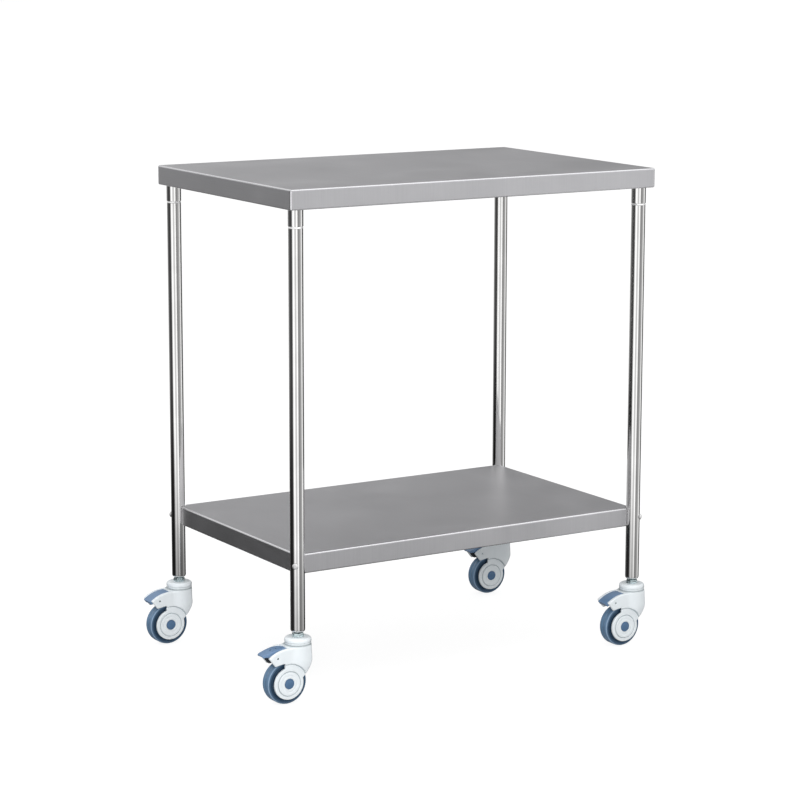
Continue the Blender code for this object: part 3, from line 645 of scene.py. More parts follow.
copies = {"Points": spots, "Instance": given["Piece"], "Rotation": turning}
placed = feed(corner_tree, "GeometryNodeInstanceOnPoints", copies)
real = feed(corner_tree, "GeometryNodeRealizeInstances", {"Geometry": placed})
moving = {"Geometry": real, "Translation": given["Centre"]}
moved = feed(corner_tree, "GeometryNodeTransform", moving)
coated = feed(corner_tree, "GeometryNodeSetMaterial", {"Geometry": moved, "Material": given["Finish"]})
corner_tree.links.new(coated, add(corner_tree, "NodeGroupOutput").inputs["Pieces"])
print("the corner tree has", len(corner_tree.nodes), "nodes")


def dress_corners(name, mesh, material, slot, *parts):
    """The same piece at the four legs, as one mesh that stands for each part at every corner."""
    values = [(length_input, 2 * half_legs.x), (depth_input, 2 * half_legs.y)]
    values += [(centre_input, tuple(table_centre)), (corner_finish, material)]
    nodes = [corner + "_" + part for part in parts for corner in CORNERS]
    dress(name, run_tree(corner_tree, mesh, values), material, slot, "table", *nodes)

# %% [markdown]
# ## Legs and their sockets
# A leg is drawn tube. It is pushed on to the socket's spigot from below, and its foot is spun in to a round
# shoulder that holds the caster's threaded plug. A ring with a sloping face closes the joint between leg and
# socket. It leans back and shows the ceiling, and its near-white, half-diffuse steel is a painted highlight;
# together they make it the bright line under the top.

# %% Legs
TUBE = 12.7
BORE = 11.5
SWAGE = (3.5, 4.5)
HEAD_EDGE = 0.4
SOCKET = 13.2
SOCKET_BORE = 8.7
SOCKET_EDGE = 0.3
SPIGOT = 11.2
GUSSET = 3.0
AROUND = 56

leg_low, leg_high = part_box("front_left_leg")
foot_z, head_z = leg_low[2] / MM, leg_high[2] / MM
foot = [(TUBE - SWAGE[0] * (1 - x), foot_z + SWAGE[1] * (1 - z)) for x, z in arc((0, 0), 1, 0, 90, 8)]
leg_profile = [(BORE, head_z)]
leg_profile += held_arc((TUBE - HEAD_EDGE, head_z - HEAD_EDGE), HEAD_EDGE, 90, 0, 5)[1:]
leg_profile += [(TUBE, foot[0][1] + HOLD)] + foot
leg_profile += [(foot[-1][0] - 1.2, foot_z), (BORE, foot_z + SWAGE[1]), (BORE, head_z)]
leg = turn("legs", leg_profile, AROUND, tube_steel)
dress_corners("legs", leg, tube_steel, "polished_steel", "leg")

# %% Joint rings and socket tubes
socket_low, socket_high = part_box("front_left_leg_socket")
spigot_foot, plate_z = socket_low[2] / MM, socket_high[2] / MM - GUSSET
ring_foot = head_z + 0.15
socket_foot = head_z + 3.3
slope = [(SPIGOT, socket_foot), (SPIGOT + 0.5, socket_foot), (TUBE + 0.3, ring_foot + 0.3)]
slope += [(TUBE + 0.1, ring_foot), (SPIGOT, ring_foot), (SPIGOT, socket_foot)]
ring = turn("ring", slope, AROUND, ring_highlight_steel)
dress_corners("joint_rings", ring, ring_highlight_steel, "polished_steel")

edge_middle = (SOCKET - SOCKET_EDGE, socket_foot + SOCKET_EDGE)
socket_profile = [(SOCKET_BORE, plate_z), (SOCKET, plate_z)]
socket_profile += held_arc(edge_middle, SOCKET_EDGE, 0, -90, 3)[:-1]
socket_profile += [(SPIGOT, socket_foot), (SPIGOT, spigot_foot)]
socket_profile += [(SOCKET_BORE, spigot_foot), (SOCKET_BORE, plate_z)]
socket = turn("socket", socket_profile, AROUND, tube_steel)
print("the socket's foot stands", round(socket_foot - head_z, 1), "mm above the leg's head")

# %% [markdown]
# The gusset above each socket is a flat plate with its inner corner cut off. It faces the diagonal, so it is
# drawn in the corner tree's own frame, where +X points outwards.

# %% Gusset plates
OUT = 17.6
IN = 52.0
EDGE = 30.0

half_turn = math.sqrt(0.5)
plate = [(OUT, OUT), (-IN, OUT), (-IN, OUT - EDGE), (OUT - EDGE, -IN), (OUT, -IN)]
plate = [((x + y) * half_turn, (y - x) * half_turn) for x, y in plate]
bm = bands([[(x, y, z) for x, y in plate] for z in (plate_z, plate_z + GUSSET)])
bmesh.ops.bevel(bm, geom=bm.edges[:], offset=0.3 * MM, segments=2, affect="EDGES", profile=0.5)
sockets = joined("sockets", [socket, tidy(as_mesh("gusset", bm), 30)])
dress_corners("sockets", tidy(sockets), tube_steel, "polished_steel", "leg_socket")

# %% [markdown]
# ## Moulded shapes from distance fields
# A moulded part has no sharp edges: every wall flows into the next with a fillet. Bevelling a boolean of many
# shapes breaks easily. A distance field doesn't: each simple shape is a function that is negative inside, and
# two of them are joined, crossed or cut with a chosen fillet radius. The surface is then read off a grid of
# points: every grid cell that the surface crosses gets one vertex, and every crossed grid edge one face.

# %% Fillets between fields
def cross(a, b, fillet):
    """What is inside both, with a rounded edge."""
    corner = np.sqrt(np.maximum(fillet + a, 0) ** 2 + np.maximum(fillet + b, 0) ** 2)
    return np.minimum(-fillet, np.maximum(a, b)) + corner


def join(a, b, fillet):
    """What is inside either, with a filled corner."""
    return -cross(-a, -b, fillet)


def cut(a, b, fillet):
    """What is inside the first and outside the second."""
    return cross(a, -b, fillet)


def outline_distance(outline, x, z):
    """Distance to a closed outline in the XZ plane, negative inside."""
    nearest = np.float32(1e9)
    inside = False
    for (x0, z0), (x1, z1) in zip(outline, outline[1:] + outline[:1]):
        run, rise = x1 - x0, z1 - z0
        along = np.clip(((x - x0) * run + (z - z0) * rise) / (run * run + rise * rise), 0, 1)
        nearest = np.minimum(nearest, (x - x0 - along * run) ** 2 + (z - z0 - along * rise) ** 2)
        if rise:
            inside = inside ^ (((z0 > z) != (z1 > z)) & (x < run * (z - z0) / rise + x0))
    return np.where(inside, -1, 1) * np.sqrt(nearest)


print("a 2 mm fillet fills a square corner by", round(-float(join(0, 0, 2)), 2), "mm")

# %% Read a surface off a field
def skin(name, field, low, high, pitch):
    """A closed mesh in metres from a field in millimetres."""
    axes = [np.arange(a, b + pitch, pitch, dtype=np.float32) for a, b in zip(low, high)]
    value = field(*np.meshgrid(*axes, indexing="ij", sparse=True)).astype(np.float32)
    inside = value < 0
    cells = tuple(n - 1 for n in value.shape)
    sums = np.zeros((4, np.prod(cells)))
    faces = []
    for axis in range(3):
        first = [slice(None)] * 3
        second = [slice(None)] * 3
        first[axis], second[axis] = slice(None, -1), slice(1, None)
        first, second = tuple(first), tuple(second)
        found = np.argwhere(inside[first] != inside[second])
        a = value[first][tuple(found.T)]
        b = value[second][tuple(found.T)]
        crossing = found.astype(np.float64)
        crossing[:, axis] += a / (a - b)
        u, v = (axis + 1) % 3, (axis + 2) % 3
        around = []
        for du, dv in ((0, 0), (1, 0), (1, 1), (0, 1)):
            cell = found.copy()
            cell[:, u] -= du
            cell[:, v] -= dv
            flat = np.ravel_multi_index(tuple(cell.T), cells)
            around.append(flat)
            sums[3] += np.bincount(flat, minlength=sums.shape[1])
            for k in range(3):
                sums[k] += np.bincount(flat, weights=crossing[:, k], minlength=sums.shape[1])
        ring = np.stack(around, axis=1)
        outward = a < 0
        ring[~outward] = ring[~outward][:, ::-1]
        faces.append(ring)
    used = np.flatnonzero(sums[3])
    number = np.zeros(sums.shape[1], dtype=np.int64)
    number[used] = np.arange(len(used))
    points = (sums[:3, used] / sums[3, used]).T * pitch + np.array(low)
    mesh = bpy.data.meshes.new(name)
    mesh.from_pydata((points * MM).tolist(), [], number[np.concatenate(faces)].tolist())
    mesh.update()
    mesh.shade_smooth()
    print(name, "from", value.size, "grid points")
    return mesh


ball = skin("ball", lambda x, y, z: np.sqrt(x ** 2 + y ** 2 + z ** 2) - 5, (-6, -6, -6), (6, 6, 6), 1.0)
print("a 5 mm ball comes out", round(max(v.co.x for v in ball.vertices) / MM, 2), "mm in radius")
bpy.data.meshes.remove(ball)

# %% [markdown]
# ## The caster's fork
# The fork is the table's most worked piece. Seen from the side it is one outline: arms over the tyre, a round
# cheek at the axle and a neck behind it. The round swivel head flows into the two cheeks. The outline and the
# head are joined with a wide fillet, and then the wheel's well, the pedal's well, the let-in ring and the
# bores are cut with narrow ones.

# %% The fork's field, in millimetres from the swivel axis at the floor
TRAIL = 27.0
WHEEL = 37.5
ARM_TOP = 62.0
ARM_END = 128.0
ARM_LOW = 42.4
CHEEK = 28.0
HALF_FORK = 19.0
HALF_WELL = 13.2
HEAD = 23.55
HEAD_TOP = 101.5
HEAD_SHOULDER = 76.0
HEAD_FOOT = 50.0
PIN_ARM = (ARM_TOP + ARM_LOW) / 2
PIN_ANGLE = 114.85
PIVOT = (-5.0, 53.5)
LET_IN = (21.4, 34.4)

arm_and_cheek = arc((0, 0), ARM_TOP, 90, ARM_END, 24)
arm_and_cheek += [polar(ARM_LOW, ARM_END)]
arm_and_cheek += arc((-9.7, 33.3), 3.0, 90, -40, 8)
below = math.degrees(math.acos(arm_and_cheek[-1][0] / CHEEK))
arm_and_cheek += arc((0, 0), CHEEK, below, 375.5, 60)
arm_and_cheek += curve(arm_and_cheek[-1], (40.0, 21.0), (44.0, 38.0), 8)[1:]
arm_and_cheek += [(41.0, ARM_TOP)]
pin_place = polar(PIN_ARM, PIN_ANGLE)


def fork_field(x, y, z):
    hub_x, hub_z = x + TRAIL, z - WHEEL
    around = np.sqrt(hub_x ** 2 + hub_z ** 2)
    wide = np.abs(y)
    cheeks = cross(outline_distance(arm_and_cheek, hub_x, hub_z), wide - HALF_FORK, 2.2)
    down = np.clip((HEAD_SHOULDER - z) / (HEAD_SHOULDER - HEAD_FOOT), 0, 1)
    along = HEAD * np.sqrt(np.maximum(1 - down ** 2, 0.03))
    across = HEAD * (1 - 0.28 * down ** 2)
    head = (np.sqrt(((x + 4 * down ** 2) / along) ** 2 + (y / across) ** 2) - 1) * np.minimum(along, across)
    head = np.maximum(head, HEAD_FOOT + 2 - z)
    body = cross(join(cheeks, head, 6.0), z - HEAD_TOP, 1.0)
    wheel_well = cross(around - 40.0, wide - HALF_WELL, 1.5)
    pedal_well = cross(np.maximum(hub_x - 0.2, -hub_z), wide - HALF_WELL, 1.5)
    body = cut(body, wheel_well, 0.9)
    body = cut(body, pedal_well, 0.9)
    ring = np.maximum(np.maximum(21.0 - around, around - 35.0), HALF_FORK - 0.65 - wide)
    body = cut(body, ring, 0.2)
    for line, half_width, depth in ((14.4, 0.6, 0.5), (LET_IN[0], 0.8, 2.2), (LET_IN[1], 0.8, 2.2)):
        groove = np.maximum(np.abs(around - line) - half_width, HALF_FORK - depth - wide)
        body = cut(body, groove, 0.25)
    body = cut(body, np.maximum(around - 9.4, 15.75 - wide), 0.2)
    body = cut(body, around - 4.3 + 0 * wide, 0.3)
    pin = np.sqrt((hub_x - pin_place[0]) ** 2 + (hub_z - pin_place[1]) ** 2) - 1.75
    body = cut(body, pin + 0 * wide, 0.35)
    trunnion = np.sqrt((hub_x - PIVOT[0]) ** 2 + (hub_z - PIVOT[1]) ** 2) - 2.3
    body = cut(body, np.maximum(trunnion, wide - 16.6), 0.2)
    return cut(body, np.maximum(np.sqrt(x ** 2 + y ** 2) - 8.4, 85.6 - z), 0.3)


def fork_painted_shade(x, y, z):
    """Painted shade in the let-in lines, on the rim under the cap and, less dark, in the pin's hole."""
    hub_x, hub_z, wide = x + TRAIL, z - WHEEL, np.abs(y)
    around = np.hypot(hub_x, hub_z)
    lines = np.minimum(np.abs(around - LET_IN[0]), np.abs(around - LET_IN[1]))
    grooves = (1.0 - lines) * 3 * ((wide > 16.4) & (wide < HALF_FORK - 0.3))
    rim = (z - HEAD_TOP + 1.3) * 3 * (np.hypot(x, y) > HEAD - 1.5)
    hole = (1.9 - np.hypot(hub_x - pin_place[0], hub_z - pin_place[1])) * 3
    return np.maximum(np.maximum(grooves, rim), np.minimum(hole, 0.5))


fork = skin("fork", fork_field, (-68, -26, 5), (26, 26, 104), 0.66)
mark(fork, fork_painted_shade)
hub_at = {}
for corner in CORNERS:
    stand = Matrix.Translation(leg_spot[corner])
    hub_at[corner] = stand @ Matrix.Translation(Vector((-TRAIL, 0, WHEEL)) * MM)
    dress_caster(corner, stand, "fork_shell", fork, white_nylon, "white_plastic", "caster", "fork")

# %% [markdown]
# ## Brake pedals and plain covers
# The pedal fills the well between the arms. It has a crowned plate with shallow side walls and two small
# dimples, a tongue that reaches past the arms for the user's shoe to press, and two trunnions. A black
# block under it bites the tyre. The plain cover has the same curve, stays put and ends in a short lip. All
# are fields too, so their edges are rounded like the fork's.

# %% Outlines of pedal and cover, in millimetres from the axle
PLATE = 3.2
HALF_PEDAL = 12.7
TIP = (64.4, 136.8)
SHOE_END = 122.0
COVER_END = 130.5
UNDERSIDE = ARM_TOP - PLATE
DIMPLES = ((108.0, -3.0), (117.0, -1.0))
RAISED = 12

root_angle = math.degrees(math.acos((0.2 - 2.1) / ARM_TOP))
shoe_start = PIN_ANGLE + math.degrees(math.asin(1.8 / PIN_ARM))
boss_side = math.degrees(math.acos((PIVOT[0] - 4.2) / UNDERSIDE))
middle_angle = (SHOE_END + TIP[1]) / 2
tip_foot = polar(TIP[0] - 4.2, TIP[1] - 0.8)
pedal_outline = arc((0, 0), ARM_TOP, root_angle, SHOE_END, 20) + [polar(*TIP)]
pedal_outline += curve(tip_foot, polar(UNDERSIDE, middle_angle), polar(UNDERSIDE, SHOE_END), 8)
pedal_outline += arc((0, 0), UNDERSIDE, SHOE_END - 1, boss_side, 14)
pedal_outline += arc(PIVOT, 4.2, 180, 360, 16)
wall_outline = arc((0, 0), ARM_TOP - 1, boss_side - 3, 133, 14) + [polar(57.5, 131.0)]
wall_outline += arc((0, 0), 55.8, 127, boss_side - 3, 12)
shoe_outline = [polar(UNDERSIDE + 0.6, shoe_start)]
shoe_outline += arc((0, 0), WHEEL + 0.4, shoe_start, SHOE_END, 6) + [polar(UNDERSIDE + 0.6, SHOE_END)]
hook = ((58.5, 120.0), (40.0, 121.0), (41.0, 127.0), (42.5, 130.5), (50.0, 131.5), (59.5, 129.5))
hook_outline = [polar(*point) for point in hook]
cover_outline = arc((0, 0), ARM_TOP, math.degrees(math.acos(-0.1 / ARM_TOP)), COVER_END, 24)
cover_outline += [polar(ARM_TOP - 7.4, COVER_END), polar(ARM_TOP - 7.4, 124.0), polar(UNDERSIDE, 124.0)]
cover_outline += [polar(UNDERSIDE, PIN_ANGLE + 4.6)]
cover_outline += arc((0, 0), PIN_ARM - 3.1, PIN_ANGLE + 4.6, PIN_ANGLE - 4.6, 4)
cover_outline += arc((0, 0), UNDERSIDE, PIN_ANGLE - 4.6, root_angle, 10)
print("outline points:", [len(o) for o in (pedal_outline, shoe_outline, hook_outline, cover_outline)])


# %% Pedal, shoe and cover
def from_dimple(x, y, z, angle, side, lift):
    """Distance from a dimple's middle, which is lifted this far off the plate's arc."""
    px, pz = polar(ARM_TOP + lift, angle)
    return np.sqrt((x - px) ** 2 + (y - side) ** 2 + (z - pz) ** 2)


# Painted shade in the pedal's two dimples.
def pedal_painted_shade(x, y, z):
    share = 0.0
    for angle, side in DIMPLES:
        share = np.maximum(share, 2.4 - from_dimple(x, y, z, angle, side, 0))
    return 0.8 * np.minimum(share, 1)


def pedal_field(x, y, z):
    wide = np.abs(y)
    crowned = z + 0.7 * (y / HALF_PEDAL) ** 2
    body = cross(outline_distance(pedal_outline, x + 0 * y, crowned), wide - HALF_PEDAL, 1.5)
    wall = np.abs(wide - HALF_PEDAL + 1.3) - 1.25
    walls = cross(outline_distance(wall_outline, x + 0 * y, crowned), wall, 0.5)
    body = join(body, walls, 0.8)
    rounded_tongue = cross(polar(*TIP)[0] + 0.3 - x, wide - HALF_PEDAL, 7.5)
    body = cross(body, rounded_tongue, 1.2)
    for angle, side in DIMPLES:
        body = cut(body, from_dimple(x, y, z, angle, side, 0.5) - 1.6, 0.3)
    trunnions = np.maximum(np.sqrt((x - PIVOT[0]) ** 2 + (z - PIVOT[1]) ** 2) - 2.0, wide - 16.1)
    return np.minimum(body, trunnions)


def shoe_field(x, y, z):
    block = cross(outline_distance(shoe_outline, x + 0 * y, z + 0 * y), np.abs(y) - 11.6, 0.8)
    hook = cross(outline_distance(hook_outline, x + 0 * y, z + 0 * y), np.abs(y) - 4.2, 0.8)
    return join(block, hook, 0.5)


def cover_field(x, y, z):
    crowned = z + 0.5 * (y / HALF_PEDAL) ** 2
    body = cross(outline_distance(cover_outline, x + 0 * y, crowned), np.abs(y) - 12.9, 1.0)
    pin = np.sqrt((x - pin_place[0]) ** 2 + (z - pin_place[1]) ** 2) - 1.8
    return cut(body, pin + 0 * y, 0.2)


pedal = skin("pedal", pedal_field, (-50, -18, 26), (4, 18, 66), 0.46)
mark(pedal, pedal_painted_shade)
shoe = skin("shoe", shoe_field, (-42, -13, 28), (-14, 13, 56), 0.5)
cover = skin("cover", cover_field, (-43, -15, 38), (3, 15, 64), 0.5)
lift = Matrix.Rotation(math.radians(RAISED), 4, "Y")
pivot = Vector((PIVOT[0], 0, PIVOT[1])) * MM
released = Matrix.Translation(pivot) @ lift @ Matrix.Translation(-pivot)
for corner in CORNERS:
    hub = hub_at[corner]
    raised = hub @ released
    if corner in BRAKED:
        dress_caster(corner, raised, "pedal_shell", pedal, blue_nylon, "blue_plastic", "pedal", "brake_pedal")
        dress_caster(corner, raised, "shoe", shoe, black_rubber, "tyre_rubber", "pedal")
    else:
        dress_caster(corner, hub, "cover_shell", cover, blue_nylon, "blue_plastic", "caster", "pedal_cover")

# %% [markdown]
# ## Swivel caps and stems
# The cap over the swivel bearing is turned, with a soft upper edge, a groove above its rim and a lower
# edge, both darkened with painted shade. The stem is machined: a hexagon with chamfered corners, a washer
# face and a thread. The hexagon and the thread don't have a plain turned shape, so the stem is a field too,
# with the thread as a wave that climbs round it.

# %% Swivel caps
CAP = 23.4
CAP_BORE = 8.4
GROOVE = 4.1

cap_low, cap_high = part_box("front_left_swivel_cap")
cap_foot, cap_top = cap_low[2] / MM, cap_high[2] / MM
cap_profile = [(CAP_BORE, cap_top)] + arc((CAP - 5.0, cap_top - 5.0), 5.0, 90, 0, 12)
cap_profile += arc((CAP - 0.4, cap_foot + GROOVE + 1.0), 0.4, 0, -80, 3)
cap_profile += [(CAP - 1.1, cap_foot + GROOVE + 0.3), (CAP - 1.1, cap_foot + GROOVE - 0.3)]
cap_profile += arc((CAP - 0.9, cap_foot + GROOVE - 0.9), 0.5, 80, 0, 3)
cap_profile += arc((CAP - 0.8, cap_foot + 0.4), 0.4, 0, -90, 3)
cap_profile += [(CAP_BORE, cap_foot), (CAP_BORE, cap_top)]
cap = turn("cap", cap_profile, 96, white_nylon)
print("cap is", round(cap_top - cap_foot, 2), "mm high")


# Painted shade in the groove above the rim and along the lower edge, where the cap meets the head.
def cap_painted_shade(x, y, z):
    groove = 1 - np.maximum(np.abs(z - cap_foot - GROOVE) / 0.8, CAP - np.hypot(x, y) - 1.6)
    return np.maximum(groove, (cap_foot + 1.2 - z) / 0.6)


mark(cap, cap_painted_shade)
dress_corners("swivel_caps", cap, white_nylon, "white_plastic", "swivel_cap")

# %% Caster stems
stem_low, stem_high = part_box("front_left_caster_stem")
stem_foot, stem_head = stem_low[2] / MM, stem_high[2] / MM
washer_z = cap_top + 0.3
hex_top = washer_z + 0.9 + 5.5


def stem_field(x, y, z):
    radius = np.sqrt(x ** 2 + y ** 2)
    slanted = np.maximum(np.abs(x / 2 + y * 0.866), np.abs(x / 2 - y * 0.866))
    flats = np.maximum(np.abs(x), slanted) - 9.25
    hexagon = cross(cross(flats, radius - 10.3, 0.2), np.maximum(z - hex_top, washer_z + 0.7 - z), 0.5)
    hexagon = np.maximum(hexagon, (radius - 9.6 + (z - hex_top)) * 0.7)
    washer = np.maximum(radius - 10.2, np.abs(z - washer_z - 0.45) - 0.45)
    turn_share = np.arctan2(y, x) / (2 * np.pi)
    thread = radius - 5.72 - 0.27 * np.cos(2 * np.pi * (z / 1.75 - turn_share))
    thread = np.maximum(thread, np.maximum(z - stem_head, stem_foot - z))
    swivel_pin = np.maximum(radius - 8.0, np.maximum(z - washer_z - 0.5, stem_foot - z))
    return np.minimum(np.minimum(hexagon, washer), np.minimum(thread, swivel_pin))


stem = skin("stem", stem_field, (-12, -12, stem_foot - 1), (12, 12, stem_head + 1), 0.46)
dress_corners("caster_stems", stem, zinc_steel, "zinc_steel", "caster_stem")

# %% [markdown]
# ## Shelf screws
# A dome-head screw goes through each leg into the shelf, from the outer side of the corner. The dome and its
# crossed slot are small, but the slot is what makes it read as a screw.

# %% Screws
def screw_field(x, y, z):
    radius = np.sqrt(y ** 2 + z ** 2)
    base = 13.0
    dome = np.sqrt((x - base + 3.9) ** 2 + y ** 2 + z ** 2) - 7.45
    head = cross(cross(dome, radius - 5.3, 0.3), base - x, 0.3)
    wide, high = np.abs(y), np.abs(z)
    slots = np.minimum(np.maximum(wide - 0.6, high - 2.7), np.maximum(high - 0.6, wide - 2.7))
    head = cut(head, np.maximum(slots, base + 2.0 - x), 0.15)
    shank = np.maximum(radius - 2.4, np.maximum(x - base - 0.5, -22 - x))
    return np.minimum(head, shank)


screw = skin("screw", screw_field, (-23, -6.5, -6.5), (18, 6.5, 6.5), 0.28)
screw.transform(Matrix.Translation((0, 0, middle("front_left_shelf_screw").z)))
dress_corners("shelf_screws", screw, screw_steel, "polished_steel", "shelf_screw")

# %% [markdown]
# ## Wheels
# The tyre has round shoulders and a flat tread, and a lip that covers the rim's edge. Its lip and sides
# get painted shade, darkest in the gap by the rim and fading towards the shoulders, and each shoulder gets
# a painted highlight. The core, its web and the hub caps are turned as well. Each is turned about Z first and
# then laid down so that its axis runs along the axle.

# %% Tyres
HALF_TYRE = 11.5
TYRE_BORE = 29.1
LIP = 24.6
SHOULDER = 4.2
SIDE_FROM = 7
# Painted shade on the tyre's lip and sides by radius, and the radius of a painted highlight round each
# shoulder.
SIDE_PAINTED_SHADE = ((24.0, 1.0), (29.6, 1.0), (30.8, 0.84), (33.5, 0.74), (35.2, 0.64), (36.2, 0.0))
SHOULDER_HIGHLIGHT_RADIUS = 36.4
lay_down = Matrix.Rotation(math.pi / 2, 4, "X")


def mirrored(half_profile):
    """Carry a half section over to the other side and close it."""
    both = half_profile + [(radius, -height) for radius, height in half_profile[::-1]]
    return both + both[:1]


tyre_half = [(TYRE_BORE, 7.2), (LIP, 7.2)] + arc((LIP + 0.8, 8.5), 0.8, 180, 95, 4)
tyre_half += [(TYRE_BORE - 0.6, 9.2), (TYRE_BORE, HALF_TYRE - 3.0), (TYRE_BORE + 1.4, HALF_TYRE - 3.0)]
tyre_half += arc((TYRE_BORE + 1.6, HALF_TYRE - 1.2), 1.8, -85, -25, 4)
tyre_half += [(TYRE_BORE + 3.6, HALF_TYRE - 0.3)]
tyre_half += arc((WHEEL - SHOULDER, HALF_TYRE - SHOULDER), SHOULDER, 88, 4, 12)
tyre_half += [(WHEEL, 5.0), (WHEEL, 0.35), (WHEEL - 0.18, 0.12)]
tyre = turn("tyre", mirrored(tyre_half), 120, tyre_blue, 50)
# Painted shade on the lip and sides, and a painted highlight round each shoulder.
mark(tyre, lambda x, y, z: np.interp(np.hypot(x, y), *zip(*SIDE_PAINTED_SHADE)) * (np.abs(z) > SIDE_FROM))
mark(tyre, lambda x, y, z: 0.9 - np.abs(np.hypot(x, y) - SHOULDER_HIGHLIGHT_RADIUS) / 0.9, "painted_highlight")
tyre.transform(lay_down)
print("the tyre's half section has", len(tyre_half), "points")

# %% Cores, hub caps and the wheels in place
core_half = [(4.3, 12.4), (9.4, 12.4), (10.0, 11.8), (10.4, 6.0), (11.6, 5.0), (22.4, 5.0), (23.4, 5.5)]
core_half += [(24.2, 6.7), (24.8, 7.0), (TYRE_BORE - 0.3, 7.0)]
core = turn("core", mirrored(core_half), 96, white_nylon)
core.transform(lay_down)

hub_profile = [(0, 16.0), (8.6, 16.0), (9.0, 16.4)] + arc((8.2, 18.5), 0.8, 0, 70, 5)
hub_profile += [(6.9, 19.42), (6.5, 19.3), (6.1, 19.48), (3.0, 19.66), (0, 19.7)]
hub_cap = turn("hub_cap", hub_profile, 64, cap_blue)
hub_rear = copy_at(hub_cap, Matrix.Rotation(math.pi, 4, "Z") @ lay_down)
hub_caps = tidy(joined("hub_caps", [copy_at(hub_cap, lay_down), hub_rear]))

both_caps = ("hub_cap_front", "hub_cap_rear")
for corner, hub in hub_at.items():
    dress_caster(corner, hub, "tyre_shell", tyre, tyre_blue, "tyre_rubber", "wheel", "tyre")
    dress_caster(corner, hub, "core_shell", core, white_nylon, "white_plastic", "wheel", "wheel_core")
    dress_caster(corner, hub, "hub_caps", hub_caps, cap_blue, "blue_plastic", "caster", *both_caps)

# %% [markdown]
# ## Solids that keep their shape
# The stiffeners, plugs, axles and pins have the right shape already. They only get a better finish.

# %% Finishes for the solids that stay
kept = {"stiffener": sheet_steel, "insert": zinc_steel, "axle": zinc_steel, "cross_pin": zinc_steel}
for part, material in kept.items():
    solids = [solid for name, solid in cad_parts.items() if part in name]
    for solid in solids:
        solid.data.materials[0] = material
    print(len(solids), part, "solids in", material.name)

# %% [markdown]
# ## The studio
# Polished steel shows nothing but its surroundings, so the room is part of its look. For reflections the
# room is a ring of walls, light and dark by turns, under a bright ceiling: the bands on the legs are those
# walls. Above the horizon no wall gets brighter than a limit that falls with height. For plain light the
# room is even and white, and the camera sees plain white paper all round. The walls are painted by
# direction in the room, so they stay put when the view changes.

# %% Walls of the studio
FIRST_WALL = math.radians(-32.6)
LOWER_WALLS = (
    (-180, 0.7), (-160, 0.9), (-148, 0.8), (-138, 0.3), (-122, 0.27), (-104, 0.1), (-76, 0.06), (-58, 0.09),
    (-50, 0.6), (-42, 1.4), (-24, 1.65), (-13, 0.85), (4, 0.8), (14, 1.45), (27, 1.6), (31, 0.8), (35, 0.37),
    (56, 0.35), (66, 0.5), (82, 0.5), (90, 1.0), (98, 1.4), (106, 1.3), (113, 0.4), (120, 0.1), (170, 0.1),
    (180, 0.7),
)
UPPER_WALLS = (
    (-180, 0.27), (-168, 0.42), (-150, 1.05), (-130, 1.05), (-106, 0.4), (-60, 0.4), (-30, 0.75), (28, 0.75),
    (46, 1.35), (110, 1.25), (140, 0.34), (165, 0.15), (180, 0.27),
)

walls, given, wanted = shader_group("studio walls", {"Direction": None}, ["Lower", "Upper"])
side = add(walls, "ShaderNodeSeparateXYZ", {"Vector": given["Direction"]}).outputs
azimuth = maths(walls, "ARCTAN2", side["X"], maths(walls, "MULTIPLY", side["Y"], -1.0))
share = maths(walls, "DIVIDE", maths(walls, "SUBTRACT", azimuth, FIRST_WALL), 2 * math.pi)
looped = maths(walls, "FRACT", maths(walls, "ADD", share, 0.5))
for label, stops in (("Lower", LOWER_WALLS), ("Upper", UPPER_WALLS)):
    half = ramp(walls, looped, [((degrees + 180) / 360, value / 2) for degrees, value in stops])
    walls.links.new(maths(walls, "MULTIPLY", half, 2.0), wanted[label])
    print(label, "walls have", len(stops), "stops")

# %% World
PLAIN_LIGHT = 0.56

world = bpy.data.worlds.new("studio")
bpy.context.scene.world = world
world.use_nodes = True
tree = world.node_tree
background = tree.nodes["Background"]
background.inputs["Color"].default_value = (1, 1, 1, 1)
direction = add(tree, "ShaderNodeTexCoord").outputs["Generated"]
wall = use(tree, walls, Direction=direction)
height = add(tree, "ShaderNodeSeparateXYZ", {"Vector": direction}).outputs["Z"]
to_upper = spread(tree, height, start=-0.06, end=0.06)
to_ceiling = spread(tree, height, start=0.4, end=0.62)
highest = spread(tree, height, 1.5, 0.8, 0.08, 0.2)
ring_of_walls = blend(tree, to_upper, wall["Lower"], maths(tree, "MINIMUM", wall["Upper"], highest))
ceiling = maths(tree, "MULTIPLY_ADD", wall["Upper"], 0.95, 0.42)
room = blend(tree, to_ceiling, ring_of_walls, ceiling)
rays = add(tree, "ShaderNodeLightPath").outputs
even = blend(tree, rays["Is Glossy Ray"], PLAIN_LIGHT, room)
seen = blend(tree, rays["Is Camera Ray"], even, 1.0)
tree.links.new(seen, background.inputs["Strength"])
print("the world has", len(tree.nodes), "nodes")

# %% [markdown]
# ## Floor
# The floor is white paper. The camera sees it nearly as white as the backdrop, but it still darkens under
# the casters. For all other plain light it is grey paper that bounces some light up. In reflections the
# walls show through the paper, so that it carries on their brightness, with painted shade under the table,
# where the table shades the floor, and in one spot behind the table's left side, where the room is darker.

# %% Paper for the floor
SHADY_SPOT = (-1.1, 0.9, 0)

paper, tree, shader, place = finish("paper", Roughness=0.8, Base_Color=(0.2, 0.2, 0.2, 1))
